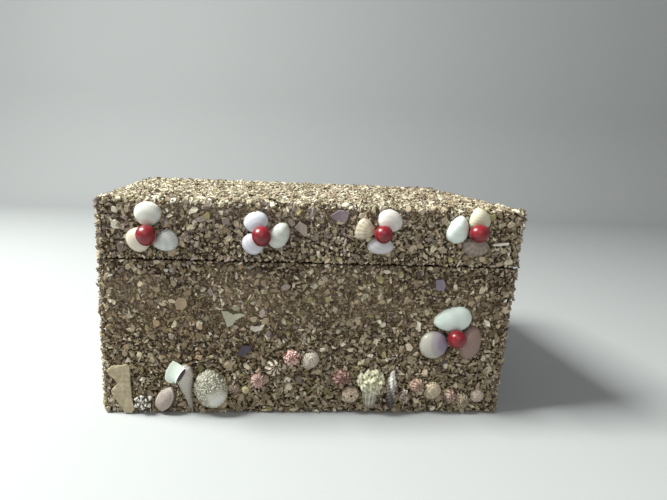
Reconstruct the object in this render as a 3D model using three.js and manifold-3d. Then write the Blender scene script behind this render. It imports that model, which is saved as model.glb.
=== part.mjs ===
// A keepsake box of thin board, crusted all over with crushed sea shell.
// Five flowers of three shell petals and a red seed are glued to its front,
// four along the lid and one on the body, and a row of whole shells runs along the foot.
// Millimetres, +Z up, the front faces -Y, the origin is the centre of the underside.
import * as THREE from 'three';
import { mergeVertices } from 'three/addons/utils/BufferGeometryUtils.js';
import Module from 'manifold-3d';

const wasm = await Module();
wasm.setup();

// ---- Driving dimensions -------------------------------------------------------------

const WIDTH = 250;        // over the lid's crust, left to right
const DEPTH = 170;        // over the lid's crust, front to back
const HEIGHT = 133;       // from the table to the top of the crust
const SEAM = 98;          // height of the joint between body and lid
const CRUST = 3;          // thickness of the crust on the lid
const OVERHANG = 0.8;     // how far the lid's crust stands out over the body's, front and back
const WALL = 6;           // side boards
const PANEL = 3;          // bottom board and top board
const LIP = 4;            // height of the rebated rim that stands up into the lid
const FOOT = 0.4;         // the crust stops this far above the table
const GAP = 0.3;          // clearance between pieces that touch
const SEAM_GAP = 0.9;     // open line between the two crusts

const CELL = 11;          // spacing of the facets of the crust
const GRIT = 1.3;         // depth of the hollows between its highest chips
const EDGE_WEAR = 1.3;    // how far its edges are rounded back
const DRIFT = 5.5;        // how far a facet's corner may lie off the grid, sideways
const TOUCH = 0.01;       // a point nearer than this to a face lies on it

const BOARD_X = WIDTH / 2 - CRUST;      // half sizes of the boards, outside
const BOARD_Y = DEPTH / 2 - CRUST;
const BOARD_TOP = HEIGHT - CRUST;
const BODY_FRONT = DEPTH / 2 - OVERHANG;   // distance of the body's front crust from the centre
const LID_FRONT = DEPTH / 2;

// ---- Colours ------------------------------------------------------------------------

const BOARD = new THREE.MeshStandardMaterial({ color: 0xa98a62, roughness: 0.8, metalness: 0 });
const GRAVEL = new THREE.MeshStandardMaterial({ color: 0x9a8d76, roughness: 0.95, metalness: 0 });
const SEED = new THREE.MeshStandardMaterial({ color: 0xa5121c, roughness: 0.2, metalness: 0 });

/** Material of one shell, matt unless a lower roughness is given. */
function shell(color, roughness = 0.5) {
  return new THREE.MeshStandardMaterial({ color, roughness, metalness: 0 });
}

// ---- Solids -------------------------------------------------------------------------

const box = new THREE.Group();

/** Shares the vertices of a geometry, so that its faces are joined. */
function weld(geometry) {
  geometry.deleteAttribute('normal');
  geometry.deleteAttribute('uv');
  return mergeVertices(geometry, 1e-4);
}

/** A closed geometry as a solid that can be joined and cut. */
function solid(geometry) {
  const welded = weld(geometry);
  const vertProperties = new Float32Array(welded.attributes.position.array);
  const triVerts = new Uint32Array(welded.index.array);
  return new wasm.Manifold(new wasm.Mesh({ numProp: 3, vertProperties, triVerts }));
}

/** A joined or cut solid as a geometry again. */
function surface(manifold) {
  const mesh = manifold.getMesh();
  const geometry = new THREE.BufferGeometry();
  geometry.setAttribute('position', new THREE.BufferAttribute(new Float32Array(mesh.vertProperties), 3));
  geometry.setIndex(new THREE.BufferAttribute(new Uint32Array(mesh.triVerts), 1));
  return geometry;
}

/** A block centred on the Z axis, from its half sizes and its lowest and highest Z. */
function block(halfX, halfY, low, high) {
  const geometry = new THREE.BoxGeometry(2 * halfX, 2 * halfY, high - low);
  geometry.translate(0, 0, (low + high) / 2);
  return solid(geometry);
}

/** Adds one named piece to the box, at a place and turn given as arrays. */
function add(name, geometry, material, place = [0, 0, 0], turn = [0, 0, 0]) {
  const flat = geometry.index ? geometry.toNonIndexed() : geometry;
  flat.computeVertexNormals();
  const mesh = new THREE.Mesh(flat, material);
  mesh.name = name;
  mesh.position.set(...place);
  mesh.rotation.set(...turn);
  box.add(mesh);
}

/** A fixed number from 0 to 1 for each three numbers: the same hollow is always as deep. */
function scatter(a, b, c) {
  const wave = Math.sin(a * 12.9898 + b * 78.233 + c * 37.719) * 43758.5453;
  return wave - Math.floor(wave);
}

/**
 * A closed skin over rings of points, each ring with as many points as the next.
 * Both end rings are closed by a fan about their mean point.
 */
function loft(rings) {
  const sides = rings[0].length;
  const points = rings.flat();
  const faces = [];
  for (let r = 0; r + 1 < rings.length; r += 1) {
    for (let s = 0; s < sides; s += 1) {
      const a = r * sides + s;
      const b = r * sides + ((s + 1) % sides);
      faces.push(a, b, b + sides, a, b + sides, a + sides);
    }
  }
  for (const ring of [0, rings.length - 1]) {
    const middle = new THREE.Vector3();
    rings[ring].forEach((point) => middle.addScaledVector(point, 1 / sides));
    points.push(middle);
    for (let s = 0; s < sides; s += 1) {
      const a = ring * sides + s;
      const b = ring * sides + ((s + 1) % sides);
      faces.push(...(ring === 0 ? [b, a, points.length - 1] : [a, b, points.length - 1]));
    }
  }
  const geometry = new THREE.BufferGeometry().setFromPoints(points);
  geometry.setIndex(faces);
  return geometry;
}

/**
 * A shell lying on its flat back in the XY plane, its crown towards +Z.
 * across, along: half sizes of its plan; taper: how much narrower its +Y end is;
 * rise: height of the crown; crown: how far the crown lies towards the +Y end, in halves of along;
 * turn: the direction of the narrow end in degrees from +X;
 * swell(angle, reach): a factor on the height, for ribs, knobs and whorls.
 */
function mound({ across, along, taper = 0, rise, crown = 0, turn = 90, sides = 16, steps = 4, swell }) {
  const rings = [];
  for (let k = 0; k < steps; k += 1) {
    const climb = (k / steps) * (Math.PI / 2);
    const reach = Math.cos(climb);
    const ring = [];
    for (let s = 0; s < sides; s += 1) {
      const angle = (s / sides) * 2 * Math.PI;
      const x = across * Math.cos(angle) * (1 - taper * Math.sin(angle)) * reach;
      const y = along * (Math.sin(angle) * reach + crown * (1 - reach));
      const height = rise * Math.sin(climb) * (swell ? swell(angle, reach) : 1);
      ring.push(new THREE.Vector3(x, y, height));
    }
    rings.push(ring);
  }
  const geometry = loft(rings);
  const crownPoint = geometry.attributes.position.count - 1;
  geometry.attributes.position.setXYZ(crownPoint, 0, along * crown, rise);
  geometry.rotateZ(THREE.MathUtils.degToRad(turn - 90));
  return geometry;
}

/**
 * A long shell lying on its flat back along Y, from stations [y, half width, sideways shift].
 * Its cross-section is a half round, flatness times as high as it is wide.
 */
function spindle(stations, { flatness = 1, sides = 9, turn = 90, swell } = {}) {
  const rings = stations.map(([y, half, shift = 0]) => {
    const ring = [];
    for (let s = 0; s < sides; s += 1) {
      const angle = (s / (sides - 1)) * Math.PI;
      const bulge = swell ? swell(angle, y) : 1;
      const height = half * flatness * Math.sin(angle) * bulge;
      ring.push(new THREE.Vector3(shift + half * Math.cos(angle), y, height));
    }
    return ring.reverse();
  });
  const geometry = loft(rings);
  geometry.rotateZ(THREE.MathUtils.degToRad(turn - 90));
  return geometry;
}

/** A flat broken chip from the corners of its outline. */
function chip(corners, thickness) {
  const outline = new THREE.Shape(corners.map(([x, y]) => new THREE.Vector2(x, y)));
  return new THREE.ExtrudeGeometry(outline, { depth: thickness, bevelEnabled: false });
}

/** Glues a piece made lying on its back to the front, at x and z, its crown facing out. */
function glue(name, geometry, material, x, z) {
  const front = z > SEAM ? LID_FRONT : BODY_FRONT;
  add(name, geometry, material, [x, -front - GAP, z], [Math.PI / 2, 0, 0]);
}

// ---- The flowers --------------------------------------------------------------------

const SEED_LIFT = 7.2;     // height of a seed's centre over the crust, resting on its petals
const SEED_CLEAR = 0.35;   // clearance of a seed in the hollow that the petals leave for it

// Each petal: its place from the seed, half width, half length, direction of its narrow
// end in degrees, taper towards that end, and the height of its crown.
const FLOWERS = [
  {
    at: [-96.5, 113.3], seed: [5.8, 5.9],
    petals: {
      top: { from: [0, 11.2], across: 7.7, along: 6.9, turn: 270, taper: 0.08, rise: 4.8, tint: 0xe6e5da },
      left: { from: [-5.3, -3.5], across: 7.2, along: 7.1, turn: 40, taper: 0.1, rise: 4.6, tint: 0xe8dfcb },
      right: {
        from: [10.0, -3.3], across: 6.1, along: 6.9,
        turn: 170, taper: 0.25, rise: 4.3, tint: 0xdfe0da,
      },
    },
  },
  {
    at: [-32.4, 114.6], seed: [5.7, 5.8],
    petals: {
      top: { from: [-3.2, 7.1], across: 7.3, along: 6.0, turn: 285, taper: 0.05, rise: 4.6, tint: 0xdfe1ea },
      right: {
        from: [10.4, -0.2], across: 5.9, along: 8.2,
        turn: 63, taper: 0.12, rise: 4.6, tint: 0xdcdfd8,
      },
      left: { from: [-4.6, -5.6], across: 6.6, along: 6.3, turn: 50, taper: 0.05, rise: 4.3, tint: 0xe2dfea },
    },
  },
  {
    at: [37.6, 117.7], seed: [5.35, 5.3],
    petals: {
      top: { from: [5.0, 7.0], across: 7.6, along: 6.6, turn: 245, taper: 0.08, rise: 4.8, tint: 0xe9e4df },
      left: { from: [-9.0, 1.4], across: 6.2, along: 6.3, turn: 345, taper: 0.5, rise: 4.2, tint: 0xc9bb9d },
      bottom: {
        from: [0.6, -7.6], across: 7.9, along: 5.4,
        turn: 90, taper: 0.15, rise: 4.2, tint: 0xdcd9de,
      },
    },
  },
  {
    at: [94.5, 119.9], seed: [5.9, 5.3],
    petals: {
      left: { from: [-10.3, 1.0], across: 6.4, along: 8.5, turn: 80, taper: 0.22, rise: 4.7, tint: 0xe3efe8 },
      top: { from: [2.0, 7.3], across: 6.5, along: 6.9, turn: 100, taper: 0.25, rise: 4.5, tint: 0xe6e2cb },
      bottom: { from: [1.9, -8.9], across: 8.4, along: 6.0, turn: 85, taper: 0.1, rise: 4.2, tint: 0x9c8f83 },
    },
  },
  {
    at: [89.8, 53.8], seed: [5.8, 5.8],
    petals: {
      top: { from: [-1.5, 10.6], across: 8.0, along: 12.2, turn: 188, taper: 0.2, rise: 5.6, tint: 0xe0ece4 },
      left: {
        from: [-11.6, -6.2], across: 9.0, along: 9.2,
        turn: 40, taper: 0.08, rise: 5.6, tint: 0xcfccca,
      },
      right: {
        from: [11.6, -4.9], across: 7.2, along: 11.2,
        turn: 82, taper: 0.05, rise: 5.2, tint: 0xa38a7f,
      },
    },
  },
];

/** One petal, lying in its flower, with a hollow where the seed sits on it. */
function petal(spec, seat) {
  const geometry = mound({ ...spec, crown: 0.2 });
  geometry.translate(spec.from[0], spec.from[1], 0);
  return surface(solid(geometry).subtract(seat));
}

/** A seed a little longer one way, round in plan, with its centre at SEED_LIFT. */
function seedBall(halfX, halfY, grow = 0) {
  const geometry = new THREE.SphereGeometry(1, 12, 7);
  geometry.scale(halfX + grow, halfY + grow, Math.min(halfX, halfY) + grow);
  geometry.translate(0, 0, SEED_LIFT);
  return geometry;
}

FLOWERS.forEach((flower, number) => {
  const name = `flower${number + 1}`;
  const seat = solid(seedBall(...flower.seed, SEED_CLEAR));
  for (const [side, spec] of Object.entries(flower.petals)) {
    glue(`${name}_petal_${side}`, petal(spec, seat), shell(spec.tint), ...flower.at);
  }
  glue(`${name}_seed`, seedBall(...flower.seed), SEED, ...flower.at);
});

// ---- The row of shells along the foot -------------------------------------------------

/** Height factor of a coiled shell: a spiral groove that winds in to the crown. */
function whorls(turns, groove) {
  return (angle, reach) => 1 - groove * (0.5 + 0.5 * Math.cos(angle - 2 * Math.PI * turns * reach));
}

/** Height factor of a knobbed or ribbed shell: waves round it and up it. */
function knobs(round, up, height) {
  return (angle, reach) => 1 + height * Math.cos(round * angle) * Math.cos(up * Math.PI * reach);
}

// Small coiled shells, left to right: place, half width, half length, turn, height, colour.
const SNAILS = [
  { name: 'snail_dark', at: [-45.4, 16.4], across: 2.8, along: 3.1, turn: 70, rise: 2.6, tint: 0x8a6a5c },
  { name: 'snail_cream', at: [-39.3, 15.8], across: 2.6, along: 2.9, turn: 100, rise: 2.4, tint: 0xb9a888 },
  { name: 'snail_rose', at: [-32.0, 22.2], across: 4.5, along: 6.0, turn: 100, rise: 4.6, tint: 0xb98a7c },
  { name: 'snail_zebra', at: [-22.2, 31.0], across: 5.9, along: 6.2, turn: 60, rise: 5.4, tint: 0xa39a88 },
  { name: 'snail_pink', at: [-11.2, 37.9], across: 5.6, along: 5.8, turn: 120, rise: 5.2, tint: 0xc39a8e },
  { name: 'snail_speckled', at: [0.7, 36.5], across: 5.1, along: 6.2, turn: 50, rise: 5.0, tint: 0xd6cfc4 },
  { name: 'snail_red', at: [20.4, 24.8], across: 5.5, along: 6.5, turn: 20, rise: 5.2, tint: 0xa85f55 },
  { name: 'snail_umbilicus', at: [27.4, 13.6], across: 5.5, along: 5.5, turn: 90, rise: 4.6, tint: 0xab9880 },
  { name: 'snail_grey', at: [62.4, 12.0], across: 3.8, along: 5.7, turn: 105, rise: 4.0, tint: 0x9d8578 },
  { name: 'snail_coral', at: [70.2, 19.6], across: 5.0, along: 5.1, turn: 60, rise: 4.8, tint: 0xc08574 },
  { name: 'snail_net', at: [80.8, 16.0], across: 5.6, along: 6.2, turn: 75, rise: 5.2, tint: 0xbcab8b },
  { name: 'snail_blush', at: [92.8, 11.6], across: 4.2, along: 5.1, turn: 80, rise: 4.2, tint: 0xb58577 },
  { name: 'snail_ribbed', at: [101.8, 8.0], across: 4.7, along: 5.9, turn: 95, rise: 4.2, tint: 0x9c8e7a },
  { name: 'snail_last', at: [111.4, 12.2], across: 4.2, along: 4.6, turn: 70, rise: 3.9, tint: 0xa8907f },
];

for (const { name, at, tint, ...spec } of SNAILS) {
  const coil = mound({ ...spec, taper: 0.12, crown: 0.25, sides: 14, steps: 5, swell: whorls(2, 0.28) });
  glue(name, coil, shell(tint), ...at);
}

// A flat broken plate of thick shell stands at the left corner.
const PLATE_THICKNESS = 2.6;
const PLATE_AT = [-115, 0.6];
const PLATE_CORNERS = [
  [-7.4, 29.0], [-5.2, 31.0], [3.9, 32.3], [5.5, 30.8], [5.7, 20.1], [6.1, 10.7], [7.6, 2.8],
  [6.0, 0], [1.4, 0.1], [-0.4, 4.2], [-5.4, 12.4], [-5.9, 15.0], [-2.2, 19.4], [-4.4, 23.3], [-7.2, 25.6],
];
glue('plate', chip(PLATE_CORNERS.reverse(), PLATE_THICKNESS), shell(0xb3a283, 0.7), ...PLATE_AT);

const KNOBBY = { across: 5.6, along: 5.6, rise: 4.8, sides: 20, steps: 5, swell: knobs(5, 3, 0.22) };
glue('knobby_shell', mound(KNOBBY), shell(0xa79d8c), -102.2, 7.8);

const CLAM = { across: 5.9, along: 8.6, taper: 0.12, rise: 5.2, crown: 0.2, turn: 62, sides: 18 };
glue('oval_clam', mound(CLAM), shell(0xb5a79c), -88.0, 9.6);

const COCKLE = { across: 10.2, along: 13.0, taper: -0.12, rise: 8.6, crown: -0.3, turn: 108 };
const COCKLE_KNOBS = { sides: 22, steps: 6, swell: knobs(11, 5, 0.07) };
glue('cockle', mound({ ...COCKLE, ...COCKLE_KNOBS }), shell(0xbdb8a6), -60.2, 16.8);

/** The broken whelk: a spindle with a flared lip, and a deep mouth between them. */
function whelk() {
  const stations = [
    [-16.6, 1.1, 2.2], [-12, 2.6, 1.6], [-6, 4.4, 0.6], [1, 5.6, 0],
    [7, 5.2, -0.6], [11, 3.4, -1.4], [13, 1.2, -2],
  ];
  const body = spindle(stations, { flatness: 1.25, sides: 11 });
  const lip = mound({ across: 5.6, along: 9.2, taper: 0.35, rise: 6.2, turn: 118, sides: 14 });
  lip.translate(-5.6, 7.4, 0);
  const mouth = new THREE.SphereGeometry(1, 12, 8);
  mouth.scale(1.7, 4.2, 5);
  mouth.rotateZ(THREE.MathUtils.degToRad(-32));
  mouth.translate(-1.9, 5.4, 8.4);
  return surface(solid(body).add(solid(lip)).subtract(solid(mouth)));
}
glue('broken_whelk', whelk(), shell(0xc4c6bb), -77.0, 20.0);

/** The barnacle shell: a ribbed cone with a crown of rough white cups on its broad end. */
function barnacleShell() {
  const ribs = (angle) => 1 + 0.1 * Math.cos(8 * angle);
  const cone = spindle(
    [[-10.2, 1.6, 0.2], [-6, 3.6, 0], [0, 5.4, 0], [5, 6.1, 0.3], [8, 5.2, 0.4]],
    { sides: 13, swell: ribs },
  );
  const cups = [
    [-5.6, 9.6, 4.2, 6.0], [0.6, 12.4, 4.6, 6.8], [6.2, 10.4, 3.8, 5.8],
    [-1.8, 6.6, 4.2, 8.6], [4.4, 5.4, 3.6, 7.6],
  ];
  let whole = solid(cone);
  cups.forEach(([x, y, radius, rise], index) => {
    const cup = mound({ across: radius, along: radius, rise, sides: 8, steps: 3, turn: 40 * index });
    cup.translate(x, y, 0);
    whole = whole.add(solid(cup));
  });
  return surface(whole);
}
glue('barnacle_shell', barnacleShell(), shell(0xcfc8a4), 39.6, 14.2);

/** The slender murex: a long neck, a swollen whorl with knobs, and a dark tip. */
function murex() {
  const ridges = (angle, y) => 1 + 0.14 * Math.cos(5 * angle) * Math.cos(y / 1.6);
  const stations = [
    [-14.4, 0.7, 0.6], [-10, 2.1, 0.3], [-5, 3.3, 0], [0, 3.5, 0],
    [4, 4.1, 0], [7, 3.7, 0], [10, 2.2, 0.2], [14.4, 1.4, 0.6],
  ];
  return spindle(stations, { flatness: 1.25, sides: 11, swell: ridges });
}
glue('murex', murex(), shell(0xb0aa9b), 53.5, 15.6);

// ---- Large flat chips on the front ----------------------------------------------------

const CHIP_THICKNESS = 1.1;
const CHIPS = [
  {
    name: 'chip_purple_shard', at: [12.6, 126.4], tint: 0x7d7078,
    corners: [[-5.6, 0.4], [-1.2, -3.4], [3.8, -3.2], [5.0, -0.6], [5.2, 3.8], [-0.6, 3.6]],
  },
  {
    name: 'chip_grey_shard', at: [-9.2, 118.4], tint: 0x8d8279,
    corners: [[-4.0, 0.6], [1.8, -4.4], [3.6, -3.6], [3.0, 2.0], [-1.0, 4.4]],
  },
  {
    name: 'chip_white_sliver', at: [112.0, 112.6], tint: 0xc8c2b4,
    corners: [[-5.0, -1.1], [4.6, -0.2], [5.0, 0.7], [4.4, 1.4], [-4.8, 0.3]],
  },
  {
    name: 'chip_green_shard', at: [-47.6, 62.6], tint: 0xb4b8a4,
    corners: [
      [-7.2, 5.0], [-5.0, -0.6], [-3.4, -5.6], [-0.4, -4.4], [1.6, -1.0],
      [7.2, 2.6], [3.6, 3.8], [0.2, 2.4], [-3.2, 4.6],
    ],
  },
  {
    name: 'chip_white_curl', at: [-33.0, 56.8], tint: 0xc4bcae,
    corners: [[-4.2, -0.6], [-1.4, -2.6], [2.4, -1.2], [4.2, 2.6], [2.0, 1.6], [-1.0, 0.8], [-3.8, 1.6]],
  },
  {
    name: 'chip_dark_purple', at: [-40.4, 41.6], tint: 0x453c46,
    corners: [[-4.6, -3.8], [0.8, -2.8], [4.4, 0.8], [3.2, 3.6], [-1.4, 3.8], [-3.6, 0.8]],
  },
  {
    name: 'chip_violet', at: [77.8, 86.2], tint: 0x7b6f7c,
    corners: [[-2.2, -3.0], [2.6, -3.8], [3.2, 0.2], [1.6, 3.8], [-3.0, 3.4]],
  },
  {
    name: 'chip_ochre', at: [-78.6, 71.6], tint: 0x9c8565,
    corners: [[-2.6, -3.6], [1.0, -4.2], [3.6, -0.6], [2.8, 3.2], [-1.2, 4.0], [-3.6, 0.8]],
  },
];
for (const { name, at, tint, corners } of CHIPS) {
  glue(name, chip(corners, CHIP_THICKNESS), shell(tint, 0.6), ...at);
}

// ---- The boards -----------------------------------------------------------------------

const RIM_LOW = SEAM - GAP / 2;         // top of the body's outer rim
const RIM_HIGH = SEAM + GAP / 2;        // foot of the lid's skirt
const INNER_X = BOARD_X - WALL;
const INNER_Y = BOARD_Y - WALL;
const LIP_X = BOARD_X - WALL / 2;       // the inner half of the wall stands up as the lip
const LIP_Y = BOARD_Y - WALL / 2;

/** The open box: a bottom, four walls, and the rebated rim that locates the lid. */
function woodenBox() {
  const walls = block(BOARD_X, BOARD_Y, 0, RIM_LOW);
  const lip = block(LIP_X, LIP_Y, PANEL, RIM_LOW + LIP);
  const inside = block(INNER_X, INNER_Y, PANEL, SEAM + 2 * LIP);
  return surface(walls.add(lip).subtract(inside));
}

/** The lid: a top and a skirt of four walls, cut away inside to clear the lip. */
function woodenLid() {
  const whole = block(BOARD_X, BOARD_Y, RIM_HIGH, BOARD_TOP);
  const inside = block(INNER_X, INNER_Y, SEAM - LIP, BOARD_TOP - PANEL);
  const rebate = block(LIP_X + GAP, LIP_Y + GAP, SEAM - LIP, RIM_LOW + LIP + GAP);
  return surface(whole.subtract(inside).subtract(rebate));
}

add('wooden_box', woodenBox(), BOARD);
add('wooden_lid', woodenLid(), BOARD);

// ---- The crust of crushed shell ---------------------------------------------------------

// Where something is glued to the front, the crust is level with its highest chips,
// as far as the reach round each piece.
const GLUED = [
  ...FLOWERS.map(({ at }) => ({ at, reach: 20 })),
  ...SNAILS.map(({ at }) => ({ at, reach: 8 })),
  ...CHIPS.map(({ at }) => ({ at, reach: 8 })),
  { at: [-115, 16], reach: 20 },
  { at: [-102, 8], reach: 8 },
  { at: [-88, 11], reach: 11 },
  { at: [-77, 20], reach: 20 },
  { at: [-60, 18], reach: 15 },
  { at: [39, 18], reach: 18 },
  { at: [53, 17], reach: 17 },
];

/** How deep the crust lies under its highest chips at a point of its surface. */
function hollow(x, y, z) {
  const near = ({ at, reach }) => Math.hypot(x - at[0], z - at[1]) < reach + CELL;
  if (y < 0 && GLUED.some(near)) {
    return 0;
  }
  return GRIT * scatter(x, y, z);
}

/**
 * A block of crust with an uneven faceted outside: every point of its grid is moved in by
 * the hollow there and a little sideways, and its edges are worn back.
 * The foot stays level, and so does the top where it is the seam.
 */
function crustBlock(halfX, halfY, low, high, topIsSeam) {
  const size = [2 * halfX, 2 * halfY, high - low];
  const grid = new THREE.BoxGeometry(...size, ...size.map((length) => Math.round(length / CELL)));
  grid.translate(0, 0, (low + high) / 2);
  const geometry = weld(grid);
  const point = geometry.attributes.position;
  for (let n = 0; n < point.count; n += 1) {
    const [x, y, z] = [point.getX(n), point.getY(n), point.getZ(n)];
    const onX = halfX - Math.abs(x) < TOUCH;
    const onY = halfY - Math.abs(y) < TOUCH;
    const onTop = high - z < TOUCH;
    const onFoot = z - low < TOUCH;
    const roundTop = onTop && !topIsSeam;
    const isEdge = (onX && onY) || (roundTop && (onX || onY));
    const inward = isEdge ? EDGE_WEAR * (0.6 + 0.4 * scatter(z, x, y)) : hollow(x, y, z);
    const slide = (seed) => DRIFT * (scatter(y + seed, z, x) - 0.5);
    const movedX = onX ? x - Math.sign(x) * inward : x + slide(1);
    const movedY = onY ? y - Math.sign(y) * inward : y + slide(2);
    let movedZ = z;
    if (roundTop) {
      movedZ = z - inward;
    } else if (!onTop && !onFoot) {
      movedZ = z + slide(3);
    }
    point.setXYZ(n, movedX, movedY, movedZ);
  }
  return solid(geometry);
}

/** The sleeve of crust round the four sides of the body. */
function boxCrust() {
  const high = SEAM - SEAM_GAP / 2;
  const outside = crustBlock(WIDTH / 2, BODY_FRONT, FOOT, high, true);
  return surface(outside.subtract(block(BOARD_X + GAP, BOARD_Y + GAP, -1, HEIGHT)));
}

/** The cap of crust over the top and the four sides of the lid. */
function lidCrust() {
  const outside = crustBlock(WIDTH / 2, LID_FRONT, SEAM + SEAM_GAP / 2, HEIGHT, false);
  return surface(outside.subtract(block(BOARD_X + GAP, BOARD_Y + GAP, 0, BOARD_TOP + GAP)));
}

add('box_crust', boxCrust(), GRAVEL);
add('lid_crust', lidCrust(), GRAVEL);

export default box;
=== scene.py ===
# %% [markdown]
# # A box crusted with crushed shell
# The real thing is a plain board box with a lift-off lid. Its maker brushed glue over every outer face,
# rolled it in crushed sea shell, and then glued whole shells and red seeds to the front. This lesson
# builds the finish round a frame of plain solids that is already at its true size: first the view and the
# light, then the boards, then tens of thousands of chips, then each shell by its own formula.

import math
from functools import partial

import bpy
import numpy as np
from mathutils import Matrix, Vector


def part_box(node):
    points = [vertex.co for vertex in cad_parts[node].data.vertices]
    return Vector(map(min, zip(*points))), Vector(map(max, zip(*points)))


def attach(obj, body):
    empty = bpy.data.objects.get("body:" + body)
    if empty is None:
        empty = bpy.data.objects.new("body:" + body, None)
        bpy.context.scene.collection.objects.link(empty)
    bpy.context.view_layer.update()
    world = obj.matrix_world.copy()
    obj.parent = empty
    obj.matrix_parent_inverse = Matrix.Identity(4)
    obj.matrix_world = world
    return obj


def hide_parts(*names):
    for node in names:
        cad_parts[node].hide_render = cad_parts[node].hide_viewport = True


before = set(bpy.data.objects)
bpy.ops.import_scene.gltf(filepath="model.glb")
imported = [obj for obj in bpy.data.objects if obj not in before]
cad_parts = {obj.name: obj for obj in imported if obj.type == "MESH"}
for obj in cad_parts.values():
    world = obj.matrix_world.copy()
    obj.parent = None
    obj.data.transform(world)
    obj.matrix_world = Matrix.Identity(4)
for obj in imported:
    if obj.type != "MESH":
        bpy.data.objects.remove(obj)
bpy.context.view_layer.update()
MM = 0.001


# %% [markdown]
# ## Reading sizes off the frame
# The places and sizes of the box and of its shells come from the frame's own nodes, so the dressed box
# can't drift away from its solids. The lid's crust gives the outer faces, the body's crust the seam, and
# the lid's board how thick the crust is.

# %% Sizes of the box, in millimetres
def node_box(node):
    """Lowest and highest corner of a frame node, in millimetres."""
    low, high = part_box(node)
    return np.array(low) / MM, np.array(high) / MM


lid_low, lid_high = node_box("lid_crust")
body_low, body_high = node_box("box_crust")
board_low, board_high = node_box("wooden_lid")
LID_HALF = (lid_high - lid_low)[:2] / 2        # half width and half depth over the lid's crust
BODY_HALF = (body_high - body_low)[:2] / 2     # the same for the body
SEAM_LOW, SEAM_HIGH = body_high[2], lid_low[2]  # the open line between the crusts
TOP, FOOT = lid_high[2], body_low[2]
print("half sizes of the lid", LID_HALF.round(2), "and the body", BODY_HALF.round(2), "in millimetres")
print("seam from", SEAM_LOW, "to", SEAM_HIGH)

# %% [markdown]
# ## Making a mesh from arrays
# A piece is worked out as whole arrays of points and faces, and handed to Blender in one go with
# foreach_set. Faces may come as several arrays, one for triangles and one for quads.

# %% A piece from arrays
def make_piece(name, points, faces, smooth=True):
    """Mesh object from an (n, 3) array of points in millimetres and one or more (m, k) arrays of faces."""
    groups = [np.asarray(group, np.int32) for group in (faces if isinstance(faces, list) else [faces])]
    corners = np.concatenate([group.ravel() for group in groups])
    sizes = np.concatenate([np.full(len(group), group.shape[1], np.int32) for group in groups])
    mesh = bpy.data.meshes.new(name)
    mesh.vertices.add(len(points))
    mesh.vertices.foreach_set("co", (np.asarray(points, np.float32) * MM).ravel())
    mesh.loops.add(len(corners))
    mesh.loops.foreach_set("vertex_index", corners)
    mesh.polygons.add(len(sizes))
    mesh.polygons.foreach_set("loop_start", np.concatenate([[0], np.cumsum(sizes)[:-1]]).astype(np.int32))
    mesh.polygons.foreach_set("use_smooth", np.full(len(sizes), smooth))
    mesh.update(calc_edges=True)
    piece = bpy.data.objects.new(name, mesh)
    bpy.context.scene.collection.objects.link(piece)
    return piece


def add_uv(piece, name, per_vertex):
    """Gives a piece a UV map from an (n, 2) array with one place for each vertex."""
    corner = np.empty(len(piece.data.loops), np.int32)
    piece.data.loops.foreach_get("vertex_index", corner)
    layer = piece.data.uv_layers.new(name=name)
    layer.uv.foreach_set("vector", np.asarray(per_vertex, np.float32)[corner].ravel())


def grid_faces(rows, columns, wrap=True):
    """Quads of a grid of points numbered row by row; with wrap, the last column joins the first."""
    across = columns if wrap else columns - 1
    row, column = np.meshgrid(np.arange(rows - 1), np.arange(across), indexing="ij")
    after = (column + 1) % columns
    this, above = row * columns, (row + 1) * columns
    return np.stack([this + column, this + after, above + after, above + column], -1).reshape(-1, 4)


def fan(ring, middle):
    """Triangles from a ring of point numbers to one middle point."""
    ring = np.asarray(ring)
    return np.stack([ring, np.roll(ring, -1), np.full(len(ring), middle)], 1)


def closed_grid(rows, columns, inside_out=False):
    """Faces of a closed surface: a grid that wraps round and a fan at each end. The two points after
    the grid are the middles of its last and first rows, or of its first and last when the grid is
    numbered inside out."""
    count = rows * columns
    first, last = np.arange(columns), np.arange(columns) + count - columns
    if inside_out:
        return [grid_faces(rows, columns)[:, ::-1], fan(first, count), fan(last[::-1], count + 1)]
    return [grid_faces(rows, columns), fan(last, count), fan(first[::-1], count + 1)]


def round_turn(count):
    """Angles evenly spaced round one whole turn."""
    return np.arange(count) / count * math.tau


def turned(points, degrees):
    """Points turned about Z."""
    cos, sin = math.cos(math.radians(degrees)), math.sin(math.radians(degrees))
    return points @ np.array([[cos, sin, 0], [-sin, cos, 0], [0, 0, 1]])


def sphere(sides, steps):
    """Points and faces of a ball of radius 1: rings at even steps of the climb from pole to pole."""
    climb = np.linspace(0, math.pi, steps + 1)[1:-1]
    climb, angle = np.meshgrid(climb, round_turn(sides), indexing="ij")
    rings = np.stack([np.sin(climb) * np.cos(angle), np.sin(climb) * np.sin(angle), np.cos(climb)], -1)
    points = np.concatenate([rings.reshape(-1, 3), [[0, 0, 1]], [[0, 0, -1]]])
    return points, closed_grid(steps - 1, sides, inside_out=True)


def joined(parts):
    """Several (points, faces, values) surfaces as one; values are given for each point or once for all."""
    starts = np.cumsum([0] + [len(points) for points, _, _ in parts])
    faces = [np.asarray(group) + start for (_, groups, _), start in zip(parts, starts) for group in groups]
    values = [np.broadcast_to(value, (len(points), *np.shape(value)[1:])) for points, _, value in parts]
    return np.concatenate([points for points, _, _ in parts]), faces, np.concatenate(values)


def ride(piece, slot, *nodes):
    """Fixes a finished piece to the box and hides the plain solids that it stands for; slot is not used."""
    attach(piece, "root")
    if nodes:
        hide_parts(*nodes)


print("helpers ready")

# %% [markdown]
# ## Materials
# One small function builds a Principled material. What is the same all over a surface is set on the
# shader's own sockets, and what varies is linked in from texture nodes on Object coordinates, from the
# piece's own UV map or from the tone of its points.

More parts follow.
